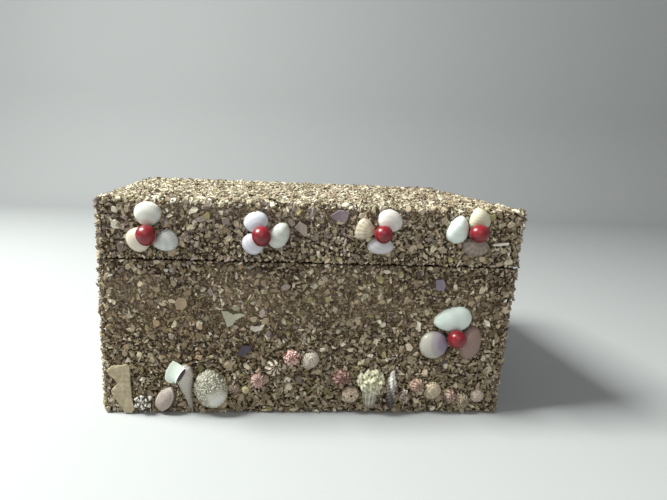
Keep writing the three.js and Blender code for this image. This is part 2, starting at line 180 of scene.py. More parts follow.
# %% Node helpers
def new_material(name, roughness=0.6, specular=0.4, coat=0.0):
    """A Principled material with constant gloss; returns it with its nodes, links and shader."""
    material = bpy.data.materials.new(name)
    material.use_nodes = True
    nodes, links = material.node_tree.nodes, material.node_tree.links
    shader = nodes["Principled BSDF"]
    shader.inputs["Roughness"].default_value = roughness
    shader.inputs["Specular IOR Level"].default_value = specular
    shader.inputs["Coat Weight"].default_value = coat
    return material, nodes, links, shader


def linear(*srgb):
    """Linear colour of an sRGB colour given as 0 to 255."""
    unit = np.array(srgb) / 255
    return tuple(np.where(unit <= 0.04045, unit / 12.92, ((unit + 0.055) / 1.055) ** 2.4).tolist())


def ramp(nodes, links, factor, stops):
    """A colour ramp read at a factor socket, from (place, (r, g, b)) stops with colours given as 0 to 255."""
    node = nodes.new("ShaderNodeValToRGB")
    band = node.color_ramp
    while len(band.elements) < len(stops):
        band.elements.new(0.5)
    for element, (place, colour) in zip(band.elements, stops):
        element.position = place
        element.color = (*linear(*colour), 1)
    links.new(factor, node.inputs["Fac"])
    return node.outputs["Color"]


def product(nodes, links, first, second):
    """Two colour sockets multiplied."""
    node = nodes.new("ShaderNodeMix")
    node.data_type = "RGBA"
    node.blend_type = "MULTIPLY"
    node.inputs[0].default_value = 1.0
    links.new(first, node.inputs[6])
    links.new(second, node.inputs[7])
    return node.outputs[2]


def noise(nodes, links, vector, scale, detail=3.0, roughness=0.6):
    """A noise texture on a vector socket; scale is in repeats per metre."""
    node = nodes.new("ShaderNodeTexNoise")
    node.inputs["Scale"].default_value = scale
    node.inputs["Detail"].default_value = detail
    node.inputs["Roughness"].default_value = roughness
    links.new(vector, node.inputs["Vector"])
    return node.outputs["Fac"]


def bump(nodes, links, shader, height, distance, strength=1.0):
    """Fine relief on the shader from a height socket; distance is in metres."""
    node = nodes.new("ShaderNodeBump")
    node.inputs["Distance"].default_value = distance
    node.inputs["Strength"].default_value = strength
    links.new(height, node.inputs["Height"])
    links.new(node.outputs["Normal"], shader.inputs["Normal"])


def object_coordinates(nodes):
    """The Object coordinates of a piece, in metres."""
    return nodes.new("ShaderNodeTexCoord").outputs["Object"]


print("node helpers ready")

# %% [markdown]
# ## View and light
# The camera stands a little above the lid and left of the middle, close to the box, looking slightly down
# and to the right. The key lamp hangs high on the left and almost over the front, so the top is bright
# while light only grazes the front and every chip there throws a shadow down to the right. A wide weak
# lamp and a pale sky fill in.

# %% Camera
CAMERA_AT = (-0.0411, -0.3714, 0.1639)
CAMERA_PITCH, CAMERA_ROLL, CAMERA_YAW = math.radians(-14.19), math.radians(-2.53), math.radians(-4.99)
LENS = 26.99               # for a sensor 36 mm wide
SHIFT = (0.0688, 0.0360)

camera_data = bpy.data.cameras.new("camera")
camera_data.lens = LENS
camera_data.sensor_width = 36
camera_data.shift_x, camera_data.shift_y = SHIFT
camera_data.clip_start = 0.01
camera = bpy.data.objects.new("camera", camera_data)
turn = (Matrix.Rotation(CAMERA_YAW, 4, "Z") @ Matrix.Rotation(CAMERA_PITCH, 4, "X")
        @ Matrix.Rotation(CAMERA_ROLL, 4, "Y"))
camera.matrix_world = Matrix.Translation(CAMERA_AT) @ turn @ Matrix.Rotation(math.pi / 2, 4, "X")
bpy.context.scene.collection.objects.link(camera)
bpy.context.scene.camera = camera
bpy.context.scene.view_settings.view_transform = "Standard"
print("camera at", CAMERA_AT)

# %% Lamps and surroundings
def soft_lamp(name, at, aim, width, watts, tint):
    """A square area lamp of a given width at a point, facing another point."""
    data = bpy.data.lights.new(name, "AREA")
    data.size, data.energy, data.color = width, watts, tint
    lamp = bpy.data.objects.new(name, data)
    lamp.location = at
    lamp.rotation_euler = (Vector(aim) - Vector(at)).to_track_quat("-Z", "Y").to_euler()
    bpy.context.scene.collection.objects.link(lamp)


BOX_MIDDLE = (0, 0, 0.07)
soft_lamp("lamp_key", (-0.78, -0.08, 1.03), BOX_MIDDLE, 0.40, 38, (0.985, 1.0, 0.95))
soft_lamp("lamp_fill", (-0.2, -1.4, 0.8), BOX_MIDDLE, 1.2, 4.2, (1.0, 0.97, 0.93))

world = bpy.data.worlds.new("pale_room")
world.use_nodes = True
world.node_tree.nodes["Background"].inputs["Color"].default_value = (0.94, 0.95, 0.95, 1)
world.node_tree.nodes["Background"].inputs["Strength"].default_value = 0.36
bpy.context.scene.world = world

FLOOR_HALF, BACK_AT, BACK_BEND, BACK_TOP = 2.0, 0.9, 0.3, 2.0


def backdrop():
    """A pale sheet: flat floor, a quarter round of radius BACK_BEND, then straight up, carried across."""
    angle = np.linspace(0, math.pi / 2, 12)
    depth = np.concatenate([[-FLOOR_HALF], BACK_AT + BACK_BEND * np.sin(angle), [BACK_AT + BACK_BEND]])
    height = np.concatenate([[0], BACK_BEND * (1 - np.cos(angle)), [BACK_TOP]])
    side = np.array([-FLOOR_HALF, FLOOR_HALF])
    sheet = np.broadcast_arrays(side[None, :], depth[:, None], height[:, None])
    points = np.stack(sheet, -1).reshape(-1, 3) / MM
    floor = make_piece("floor", points, grid_faces(len(depth), 2, wrap=False)[:, ::-1])
    material, nodes, links, shader = new_material("pale_floor", roughness=0.8, specular=0.2)
    shader.inputs["Base Color"].default_value = (*linear(168, 171, 172), 1)
    floor.data.materials.append(material)


backdrop()
print("lamps and floor placed")

# %% [markdown]
# ## The boards
# The box and the lid under the crust are light brown board. Only the underside, the rims and the inside
# show it. Their solids are right as they are, so they keep their mesh and get a better finish: streaks of
# grain from noise stretched along X, with a faint relief, and a dark band along the seam, painted shade
# for the gap between box and lid.

# %% Board finish
SEAM_SHADE_REACH = 2.2          # painted shade of the seam's gap darkens the wood this far above and below the seam


def board_finish():
    """Streaks: noise on Object coordinates, stretched 14 times along X, mapped from dark to light
    brown; where the height is within SEAM_SHADE_REACH of the seam, the brown is multiplied by a dark one,
    painted shade for the gap between box and lid."""
    material, nodes, links, shader = new_material("bare_board", roughness=0.75, specular=0.25)
    stretch = nodes.new("ShaderNodeMapping")
    stretch.inputs["Scale"].default_value = (0.07, 1.0, 1.0)
    links.new(object_coordinates(nodes), stretch.inputs["Vector"])
    streak = noise(nodes, links, stretch.outputs["Vector"], 260, 5)
    wood = ramp(nodes, links, streak,
                [(0.3, (134, 104, 70)), (0.55, (172, 140, 100)), (0.75, (190, 160, 120))])
    height = nodes.new("ShaderNodeSeparateXYZ")
    links.new(object_coordinates(nodes), height.inputs["Vector"])
    near_seam = nodes.new("ShaderNodeMath")
    near_seam.operation = "COMPARE"
    near_seam.inputs[1].default_value = (SEAM_LOW + SEAM_HIGH) / 2 * MM
    near_seam.inputs[2].default_value = SEAM_SHADE_REACH * MM
    links.new(height.outputs["Z"], near_seam.inputs[0])
    # painted shade: a dark band on the wood along the seam
    seam_shade = ramp(nodes, links, near_seam.outputs["Value"], [(0.0, (255, 255, 255)), (1.0, (78, 62, 46))])
    links.new(product(nodes, links, wood, seam_shade), shader.inputs["Base Color"])
    bump(nodes, links, shader, streak, 0.0002, 0.5)
    return material


board = board_finish()
for node in ("wooden_box", "wooden_lid"):
    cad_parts[node].data.materials.clear()
    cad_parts[node].data.materials.append(board)
print("boards finished")

# %% [markdown]
# ## The crust: chips of crushed shell
# Crushed shell is flat angular flakes with smaller grains and crumbs between them, lying at every tilt in
# dark glue. A flat surface with bump can't cast the small hard shadows that make it look like gravel, so
# every chip is a real little solid: a flake is an uneven ring of corners given a thickness, a grain or a
# crumb is an uneven ring between two tips. All chips of one kind on a face are worked out together, as
# arrays with a row for each chip.
#
# Colour is carried by a UV map used as a palette: across it runs the kind of shell, from dark through
# brown and beige to white and then the rarer mauve, bleached, olive and amber kinds, and up it runs how
# clean and how lit the chip is: each chip's underside is painted darker than its top, as shade.

# %% Where chips lie on the sides of the box
ROUND = 2.5                # radius of the crust's worn edges
rng = np.random.default_rng(7)


def scattered(length, height, density):
    """Points evenly spread over a length by height sheet: one at random in each cell of a square grid."""
    cell = 1 / math.sqrt(density)
    along, up = max(1, round(length / cell)), max(1, round(height / cell))
    i, j = np.meshgrid(np.arange(along), np.arange(up), indexing="ij")
    u = (i.ravel() + rng.random(i.size)) / along * length
    v = (j.ravel() + rng.random(i.size)) / up * height
    return u, v


def round_corner(s, half, reach, radius):
    """Walks along one face of a box seen from above and half way round both rounded corners. s is the
    distance from the face's middle; returns sideways place, outward place and the normal's angle."""
    flat = half - radius
    past = np.clip(np.abs(s) - flat, 0, None)
    angle = past / radius
    side = np.sign(s) * (np.minimum(np.abs(s), flat) + radius * np.sin(angle))
    out = reach - radius + radius * np.cos(angle)
    return side, out, np.sign(s) * angle


def wall_places(half_along, reach, low, high, degrees, round_top, density):
    """Places and outward normals on one side of the box, along it and up it, and over the top edge if
    that is round; all worked out for the front and then turned about Z."""
    over = ROUND if round_top else 0
    straight = high - low - over
    length = 2 * (half_along - ROUND) + ROUND * math.pi / 2
    u, v = scattered(length, straight + over * math.pi / 2, density)
    side, out, lean = round_corner(u - length / 2, half_along, reach, ROUND)
    rise = np.clip(v - straight, 0, None) / ROUND
    normal = np.stack([np.cos(rise) * np.sin(lean), -np.cos(rise) * np.cos(lean), np.sin(rise)], 1)
    back = ROUND * (1 - np.cos(rise))
    up = low + np.minimum(v, straight) + ROUND * np.sin(rise)
    place = np.stack([side - np.sin(lean) * back, -out + np.cos(lean) * back, up], 1)
    return turned(place, degrees), turned(normal, degrees)


def top_places(density):
    """Places and normals on the flat top of the lid, inside its rounded edge."""
    size = 2 * (LID_HALF - ROUND)
    u, v = scattered(*size, density)
    place = np.stack([u - size[0] / 2, v - size[1] / 2, np.full(len(u), TOP)], 1)
    return place, np.tile([0.0, 0.0, 1.0], (len(u), 1))


print("placing rules ready")

# %% Chips as arrays
def chip_axes(normal, lean):
    """For each chip three axes: two in its plane and its own normal, tilted from the face's by lean."""
    other = np.where(np.abs(normal[:, 2:]) < 0.9, [[0.0, 0, 1]], [[1.0, 0, 0]])
    first = np.cross(other, normal)
    first /= np.linalg.norm(first, axis=1, keepdims=True)
    second = np.cross(normal, first)
    way = rng.uniform(0, math.tau, (len(normal), 1))
    downhill = np.cos(way) * first + np.sin(way) * second
    out = np.cos(lean)[:, None] * normal + np.sin(lean)[:, None] * downhill
    level = np.cross(out, np.cos(way + 1) * first + np.sin(way + 1) * second)
    level /= np.linalg.norm(level, axis=1, keepdims=True)
    return np.stack([level, np.cross(out, level), out], 1)


def slab_faces(count, corners):
    """Faces of many flat chips at once: each has a lower ring of corners, then an upper one."""
    ring = np.arange(corners)
    after = np.roll(ring, -1)
    start = (np.arange(count) * 2 * corners)[:, None, None]
    flat = np.stack([ring[::-1], ring + corners])
    edge = np.stack([ring, after, after + corners, ring + corners], 1)
    return [(flat[None] + start).reshape(-1, corners), (edge[None] + start).reshape(-1, 4)]


def flakes(place, normal, size, thick, lean, corners):
    """Flat chips. Corner k of n lies at angle 2 pi (k + shift) / n and at an uneven radius; the ring is
    squeezed one way, copied at minus and plus half the thickness, drawn in a little at the top, and
    bent by cos(2 x angle) as curved shell is. Returns points, faces, 0 below and 1 above, and each
    point's chip."""
    count = len(place)
    angle = math.tau * (np.arange(corners) + rng.uniform(-0.33, 0.33, (count, corners))) / corners
    radius = size[:, None] / 2 * rng.uniform(0.7, 1.2, (count, corners))
    squeeze = rng.uniform(0.24, 0.92, (count, 1))
    flat = np.stack([radius * np.cos(angle), radius * np.sin(angle) * squeeze], -1)
    rings = flat[:, None] * np.array([1.0, 0.8])[None, :, None, None]
    level = thick[:, None, None] * np.array([-0.5, 0.5])[None, :, None] * np.ones((count, 2, corners))
    level[:, 1] *= rng.uniform(0.5, 1.5, (count, corners))
    level += (0.10 * size * rng.uniform(-1, 1, count))[:, None, None] * np.cos(2 * angle)[:, None]
    local = np.concatenate([rings, level[..., None]], -1)
    points = place[:, None, None] + np.einsum("nrci,nij->nrcj", local, chip_axes(normal, lean))
    upper = np.tile(np.repeat([0.0, 1.0], corners), count)
    owner = np.repeat(np.arange(count), 2 * corners)
    return points.reshape(-1, 3), slab_faces(count, corners), upper, owner


def crumbs(place, normal, size, flat, corners):
    """Grains and crumbs: a ring of uneven corners between a lower and an upper tip, each off the
    middle; flat is the height of the tips as a share of the width. Returns the same four arrays as
    flakes."""
    count = len(place)
    angle = math.tau * (np.arange(corners) + rng.uniform(-0.35, 0.35, (count, corners))) / corners
    radius = size[:, None] / 2 * rng.uniform(0.6, 1.15, (count, corners))
    warp = size[:, None] * rng.uniform(-0.14, 0.14, (count, corners))
    tips = np.zeros((count, 2, 3))
    tips[:, :, 2] = (size * flat)[:, None] * np.array([-0.8, 1.0]) * rng.uniform(0.6, 1.1, (count, 2))
    tips[:, :, :2] = size[:, None, None] * rng.uniform(-0.22, 0.22, (count, 2, 2))
    local = np.concatenate([np.stack([radius * np.cos(angle), radius * np.sin(angle), warp], -1), tips], 1)
    axes = chip_axes(normal, rng.uniform(0, 1.2, count))
    points = place[:, None] + np.einsum("nci,nij->ncj", local, axes)
    ring = np.arange(corners)
    cones = np.concatenate([fan(ring, corners + 1), fan(ring[::-1], corners)])
    faces = (cones[None] + (np.arange(count) * (corners + 2))[:, None, None]).reshape(-1, 3)
    upper = np.tile([0.5] * corners + [0.0, 1.0], count)
    return points.reshape(-1, 3), [faces], upper, np.repeat(np.arange(count), corners + 2)


print("chip shapes ready")

# %% [markdown]
# ### The palette of crushed shell
# Most chips are beige to grey-brown, some cream to white, a few mauve, olive or amber, and those on top
# are mostly pale: painted sheen of the light grazing the top, thinning towards the right where the light
# falls off. The palette is a colour ramp over the UV map's first axis, darkened along its second.

# %% Chip finish
CHIP_COLOURS = [
    (0.00, (72, 62, 66)), (0.05, (108, 96, 94)), (0.09, (112, 98, 80)), (0.22, (148, 132, 110)),
    (0.38, (176, 160, 136)), (0.50, (200, 185, 160)), (0.60, (224, 212, 190)), (0.68, (244, 240, 226)),
    (0.70, (138, 124, 120)), (0.78, (186, 172, 164)), (0.80, (178, 172, 146)), (0.87, (214, 208, 186)),
    (0.92, (240, 237, 224)), (0.94, (180, 170, 126)), (0.965, (146, 138, 98)),
    (0.975, (146, 124, 98)), (1.00, (190, 167, 137)),
]
# spans of the palette that hold one kind of shell
DARK, MAUVE, BLEACHED_AND_SHEEN, OLIVE, AMBER = (0.0, 0.05), (0.70, 0.78), (0.80, 0.92), (0.94, 0.965), (0.975, 1.0)
MAP = "OFBake"             # the chips' UV map


def chip_finish():
    """Base colour = ramp(first UV axis) times a grey that runs from dark to light along the second UV
    axis, which carries how clean each chip is and, on its underside, painted shade."""
    material, nodes, links, shader = new_material("crushed_shell", roughness=0.6, specular=0.3)
    uv = nodes.new("ShaderNodeUVMap")
    uv.uv_map = MAP
    split = nodes.new("ShaderNodeSeparateXYZ")
    links.new(uv.outputs["UV"], split.inputs["Vector"])
    kind = ramp(nodes, links, split.outputs["X"], CHIP_COLOURS)
    clean_and_lit = ramp(nodes, links, split.outputs["Y"],
                 [(0.0, (96, 84, 68)), (0.5, (206, 202, 194)), (1.0, (255, 255, 252))])
    links.new(product(nodes, links, kind, clean_and_lit), shader.inputs["Base Color"])
    return material


def glue_finish():
    """Dark glue with sand in it: noise from nearly black to brown, and finer noise for the relief."""
    material, nodes, links, shader = new_material("sandy_glue", roughness=0.7, specular=0.3)
    where = object_coordinates(nodes)
    tone = ramp(nodes, links, noise(nodes, links, where, 900, 3),
                [(0.35, (56, 46, 34)), (0.55, (96, 80, 58)), (0.7, (146, 126, 94))])
    links.new(tone, shader.inputs["Base Color"])
    bump(nodes, links, shader, noise(nodes, links, where, 1500, 2), 0.0003)
    return material


crushed = chip_finish()
glue = glue_finish()
print("crust finishes ready")

# %% [markdown]
# ### Laying the crust
# Under the chips lies a thin bed of glue, a hollow sleeve with rounded corners. On each face come small
# grains that fill the bed, then crumbs, then flakes of middle size, and last a few large flakes. No chip
# crosses the seam or reaches the table: points past those planes are pressed back onto them.

# %% Beds of glue
BED_DEPTH = 1.5            # the bed's face lies this far behind the crust's
BED_SLOPE = 1.2            # the lid's bed is bevelled this much round its top
SEAM_INSET = 0.3           # a bed ends this far short of the seam
BOARD_GAP = 0.2            # and leaves this much room round the board


def rounded_loop(half, inset, z, steps=6):
    """A closed loop round the box at one height: four quarter circles joined by straight lines."""
    radius = max(ROUND - inset, 0.4)
    centre = half - inset - radius
    quarter = np.linspace(0, math.pi / 2, steps)
    angle = (np.arange(4)[:, None] * math.pi / 2 + quarter[None]).ravel()
    sign = np.repeat([[1, 1], [-1, 1], [-1, -1], [1, -1]], steps, 0)
    flat = sign * centre + radius * np.stack([np.cos(angle), np.sin(angle)], 1)
    return np.column_stack([flat, np.full(len(flat), z)])


def body_bed(half, inner, low, high):
    """A sleeve round an open room: loops up the outside and down the inside, the last joined to the first."""
    outside = [rounded_loop(half, BED_DEPTH, z) for z in (low, high)]
    inside = [rounded_loop(inner, 0, z) for z in (high, low)]
    count = len(outside[0])
    return np.concatenate(outside + inside), grid_faces(5, count) % (4 * count)


def lid_bed(half, inner, low, high):
    """A sleeve closed over the top: from the middle of its ceiling down the inside, up the outside,
    over a bevel and back to the middle."""
    ceiling = board_high[2] + BOARD_GAP
    face = high - BED_DEPTH
    loops = [rounded_loop(inner, 0, ceiling), rounded_loop(inner, 0, low)]
    loops += [rounded_loop(half, BED_DEPTH, z) for z in (low, face - BED_SLOPE)]
    loops.append(rounded_loop(half, BED_DEPTH + BED_SLOPE, face))
    middles = [[[0, 0, face]], [[0, 0, ceiling]]]
    return np.concatenate(loops + middles), closed_grid(5, len(loops[0]))


def lay_bed(name, node, points, faces):
    """One bed of glue in place of a crust's plain solid."""
    piece = make_piece(name, points, faces)
    piece.data.materials.append(glue)
    ride(piece, "crushed_shell", node)


INNER_HALF = (board_high - board_low)[:2] / 2 + BOARD_GAP
lay_bed("bed_body", "box_crust", *body_bed(BODY_HALF, INNER_HALF, FOOT, SEAM_LOW - SEAM_INSET))
lay_bed("bed_lid", "lid_crust", *lid_bed(LID_HALF, INNER_HALF, SEAM_HIGH + SEAM_INSET, TOP))
print("beds of glue laid")

# %% Kinds of shell by place
TOP_EDGE = 1.5                              # chips count as lying on top from this far below it
PALER_ON_LID, PALER_AT_FOOT = 0.36, 0.34    # how far chips there move towards the pale end of their span
MAUVE_PATCH, AMBER_PATCH = ((-70, TOP), (90, 45)), ((-80, 50), (60, 30))    # middle and width, along and up
DARK_SHARE = 0.02
SETTLED = 9                                 # more than any share, so a chip that has its kind keeps it


def patch(x, z, middle, width):
    """1 at the middle of a patch and less away from it, as exp(-distance ** 2) with distances in its
    widths."""
    return np.exp(-((x - middle[0]) / width[0]) ** 2 - ((z - middle[1]) / width[1]) ** 2)


def tones(spot, low, high):
    """Kinds of shell by place: mostly between low and high; mauve ones gather at the upper left of the
    front, olive ones near the foot, amber ones low on the left, a few bleached ones on the sides, and
    many pale ones on top as painted sheen, fewer towards the right where the light falls off."""
    count = len(spot)
    x, _, z = spot.T
    on_top, on_lid = z > TOP - TOP_EDGE, z > SEAM_HIGH
    tone = rng.beta(1.25, 1.5, count) * (high - low) + low
    paler = np.where(on_lid, PALER_ON_LID, PALER_AT_FOOT * np.exp(-(z / 45) ** 2)) * ~on_top
    tone = tone + paler * (high - tone)
    shares = {
        MAUVE: 0.03 + (0.26 * patch(x, z, *MAUVE_PATCH) + 0.05 * on_lid) * ~on_top,
        OLIVE: 0.02 + 0.17 * np.exp(-z / 30),
        AMBER: (0.01 + 0.30 * patch(x, z, *AMBER_PATCH)) * ~on_top,
        # painted sheen: pale chips on top stand in for the light grazing it, fewer on the right where the
        # light falls off; on the sides 0.07 are bleached chips
        BLEACHED_AND_SHEEN: np.where(on_top, 0.58 - 0.26 * (x / 125).clip(0, 1), 0.07),
    }
    chance = rng.random(count)
    for span, share in shares.items():
        drawn = chance < share
        tone = np.where(drawn, rng.uniform(*span, count), tone)
        chance = np.where(drawn, SETTLED, chance - share)
    return np.where(rng.random(count) < DARK_SHARE, rng.uniform(*DARK, count), tone)


GLUED_CHIPS = [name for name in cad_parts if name.startswith("chip_")]
GIVE_WAY = 1.7             # how much deeper the crust's chips lie under a large chip
ROOM = 1.3                 # a large chip's room reaches this far past its box
ROOM_OVAL, ROOM_DEEP = 1.15, 3     # squared size of the oval and half depth, in half sizes of the room


def make_room(spot):
    """How much deeper a chip lies: GIVE_WAY inside the oval of a large chip's room, nothing outside it."""
    deeper = np.zeros(len(spot))
    for node in GLUED_CHIPS:
        low, high = node_box(node)
        x, y, z = ((spot - (low + high) / 2) / ((high - low) / 2 + ROOM)).T
        deeper[(x ** 2 + z ** 2 < ROOM_OVAL) & (spot[:, 1] < 0) & (np.abs(y) < ROOM_DEEP)] = GIVE_WAY
    return deeper


print("kinds by place ready; room kept for", len(GLUED_CHIPS), "large chips")

# %% Chips on every face
SET_BACK = 0.22            # a tilted flake is set deeper by this share of its size, so its high edge stays in


def grain(place, out, corners):
    """Grains, 1.0 to 2.3 wide."""
    return crumbs(place, out, rng.uniform(1.0, 2.3, len(place)), 0.45, corners)


def crumb(place, out, corners):
    """Crumbs, flatter than grains and mostly near 2.8 wide."""
    size = rng.gamma(9, 0.31, len(place)).clip(1.6, 4.4)
    return crumbs(place, out, size, rng.uniform(0.15, 0.4, len(place)), corners)


def flake(place, out, corners):
    """Flakes, mostly near 3.5 wide, at every tilt up to 1.4 radians."""
    count = len(place)
    size = rng.gamma(6, 0.58, count).clip(1.6, 6.2)
    lean = np.abs(rng.normal(0, 0.8, count)).clip(0, 1.4)
    place = place - out * (SET_BACK * size * np.sin(lean))[:, None]
    return flakes(place, out, size, rng.uniform(0.35, 0.8, count), lean, corners)


def large_flake(place, out, corners):
    """Large flakes, 4.0 to 6.6 wide, that lie almost flat."""
    count = len(place)
    size = rng.uniform(4.0, 6.6, count)
    lean = np.abs(rng.normal(0, 0.3, count)).clip(0, 0.7)
    return flakes(place, out, size, rng.uniform(0.6, 1.0, count), lean, corners)


KINDS = [
    # shape, corners, number to a square millimetre, deepest and shallowest, span of the palette
    (grain, 4, 0.15, (-1.5, -0.5), (0.06, 0.66)),
    (crumb, 5, 0.10, (-0.9, 0.1), (0.07, 0.67)),
    (flake, 3, 0.10, (-0.8, 0.35), (0.08, 0.68)),
    (flake, 4, 0.13, (-0.8, 0.35), (0.08, 0.68)),
    (flake, 5, 0.04, (-0.8, 0.35), (0.08, 0.68)),
    (large_flake, 6, 0.022, (-0.1, 0.5), (0.10, 0.68)),
]
CLEAN = (0.25, 0.95)       # how clean the tops of chips are
UNDERSIDE_SHADE = 0.55           # painted shade: an underside's tone as a share of its top's


def lay_chips(name, places, low, high, node, share):
    """All kinds of chip over one face, between two heights; places(density) gives where they lie and
    which way is out, and share thins all kinds alike."""
    laid = []
    for shape, corners, density, depths, span in KINDS:
        spot, out = places(density * share)
        depth = rng.uniform(*depths, len(spot)) - make_room(spot)
        laid.append((*shape(spot + out * depth[:, None], out, corners), tones(spot, *span)))
    parts = []
    for points, faces, upper, owner, tone in laid:
        # random cleanness of each chip, times painted shade on its underside
        clean_and_lit = rng.uniform(*CLEAN, len(tone))[owner] * (UNDERSIDE_SHADE + (1 - UNDERSIDE_SHADE) * upper)
        parts.append((points, faces, np.stack([tone[owner], clean_and_lit], 1)))
    points, faces, palette = joined(parts)
    points[:, 2] = points[:, 2].clip(low, high)
    piece = make_piece(name, points, faces, smooth=False)
    add_uv(piece, MAP, palette)
    piece.data.materials.append(crushed)
    ride(piece, "crushed_shell", node)
    triangles = sum(len(group) * (group.shape[1] - 2) for group in faces)
    print(name, sum(len(part[4]) for part in laid), "chips,", triangles, "triangles")


LID_LEVEL = LID_HALF + [0.9, 0.4]      # half sizes at the chips' mean level, a little proud of the solids
BODY_LEVEL = BODY_HALF + [1.3, 0.5]
TABLE_GAP = 0.1            # the lowest chips end this far above the table
SEAM_REACH = 0.15          # chips may hang this far past the crusts' edges into the seam
HEADROOM = 5               # and stand this far above the top
SIDES = {
    # side: which half size runs along it, degrees about Z, share of the chips (plainer sides carry fewer)
    "front": (0, 0, 1.0), "right": (1, 90, 0.84), "back": (0, 180, 0.78), "left": (1, -90, 0.84),
}
TOP_SHARE = 0.8
for side, (axis, degrees, share) in SIDES.items():
    on_body = partial(wall_places, *np.roll(BODY_LEVEL, axis), FOOT, SEAM_LOW, -degrees, False)
    lay_chips(f"chips_body_{side}", on_body, TABLE_GAP, SEAM_LOW + SEAM_REACH, "box_crust", share)
    on_lid = partial(wall_places, *np.roll(LID_LEVEL, axis), SEAM_HIGH, TOP, -degrees, True)
    lay_chips(f"chips_lid_{side}", on_lid, SEAM_HIGH - SEAM_REACH, TOP + HEADROOM, "lid_crust", share)
lay_chips("chips_lid_top", top_places, SEAM_HIGH, TOP + HEADROOM, "lid_crust", TOP_SHARE)

# %% [markdown]
# ### Chips set one by one
# Among the scattered chips a few larger ones catch the eye. Each is laid flat on the front at its own
# place, with a length, a width and a turn.

# %% Chips set one by one
FRAGMENTS = [
    # place along and up, length, width, turn in degrees, kind of shell
    (-89.1, 71.8, 6.5, 5.0, 20, 0.50), (-68.1, 59.0, 5.2, 4.2, 60, 0.62),
    (-81.6, 62.0, 9.0, 2.0, 25, 0.97), (-30.5, 66.6, 6.5, 4.6, 70, 0.77),
    (-50.4, 32.5, 7.0, 6.4, 0, 0.32), (-1.9, 75.4, 6.2, 4.4, 35, 0.96),
    (9.1, 75.6, 5.2, 4.2, 110, 0.95), (23.7, 61.1, 6.8, 6.0, 40, 0.26),
    (40.5, 47.5, 8.4, 4.2, 75, 0.58), (38.0, 39.4, 5.4, 2.6, 0, 0.66),
    (67.3, 57.8, 6.0, 4.6, 130, 0.62), (84.2, 76.6, 5.0, 3.6, 50, 0.60),
    (-119.8, 88.2, 5.6, 3.4, 10, 0.66), (116.3, 30.4, 7.4, 6.0, 30, 0.83),
    (-26.0, 52.5, 6.2, 4.6, 80, 0.71), (-16.8, 83.0, 6.4, 4.8, 20, 0.74),
    (4.5, 86.5, 6.6, 5.2, 45, 0.42), (-61.5, 79.0, 5.8, 4.4, 100, 0.72),
    (86.3, 34.6, 7.6, 5.4, 10, 0.02), (87.0, 24.0, 5.4, 4.0, 60, 0.09),
    (65.6, 36.5, 7.4, 6.4, 0, 0.34), (82.7, 2.9, 5.0, 3.8, 45, 0.66),
]
LID_FRAGMENTS = [
    (-15.2, 122.0, 6.8, 4.6, 120, 0.72), (-66.5, 122.5, 7.4, 4.6, 15, 0.75),
    (-1.0, 114.0, 6.6, 4.4, 60, 0.71), (111.5, 109.6, 7.6, 1.9, 5, 0.55),
    (14.0, 123.4, 6.2, 4.4, 20, 0.50), (58.0, 108.6, 6.6, 5.0, 30, 0.46),
    (13.6, 101.2, 3.4, 2.8, 0, 0.95), (104.4, 128.4, 6.4, 4.6, 30, 0.96),
    (-92.0, 107.5, 5.4, 4.0, 50, 0.60),
]
FRAGMENT_SINK, FRAGMENT_THICK = 0.6, 0.8     # how deep a base lies, and how thick a chip is
FRAGMENT_FACE = 0.86                         # the face's size against the base's
FRAGMENT_SHADE = (0.45, 0.92)                # how light the base and the face are: the base is painted darker as shade


def fragments(name, table, front, node, corners=7):
    """Rings of uneven corners at half the length and width, turned by their angle, between a base and a
    slightly smaller face that leans a little; all in one mesh."""
    along, up, length, width, degrees, kind = np.array(table).T[..., None]
    count = len(table)
    angle = math.tau * (np.arange(corners) + rng.uniform(-0.3, 0.3, (count, corners))) / corners
    radius = rng.uniform(0.8, 1.1, (count, corners))
    x, z = length / 2 * radius * np.cos(angle), width / 2 * radius * np.sin(angle)
    cos, sin = np.cos(np.radians(degrees)), np.sin(np.radians(degrees))
    x, z = x * cos - z * sin, x * sin + z * cos
    base_y = front + FRAGMENT_SINK + (rng.uniform(-0.12, 0.12, (2, count, 1)) * np.stack([x, z])).sum(0)
    base = np.stack([along + x, base_y, up + z], -1)
    face = np.stack([along + FRAGMENT_FACE * x, base_y - FRAGMENT_THICK, up + FRAGMENT_FACE * z], -1)
    points = np.stack([base, face], 1).reshape(-1, 3)
    piece = make_piece(name, points, slab_faces(count, corners), smooth=False)
    # painted shade: each chip's base is darker than its face
    clean_and_lit = np.tile(np.repeat(FRAGMENT_SHADE, corners), count)
    add_uv(piece, MAP, np.stack([np.repeat(kind, 2 * corners), clean_and_lit], 1))
    piece.data.materials.append(crushed)
    ride(piece, "crushed_shell", node)
    print(name, count, "chips set by hand")


fragments("fragments_body", FRAGMENTS, -BODY_LEVEL[1], "box_crust")
fragments("fragments_lid", LID_FRAGMENTS, -LID_LEVEL[1], "lid_crust")

# %% [markdown]
# ## Whole shells
# A shell's colour follows its growth, so each vertex carries one number called tone, worked out by the
# same formula that shapes it, and the material only turns that number into colour. Each shell is shaped
# in its own plane, lying on its back with the crown up, then fitted to the box of its node on the front.

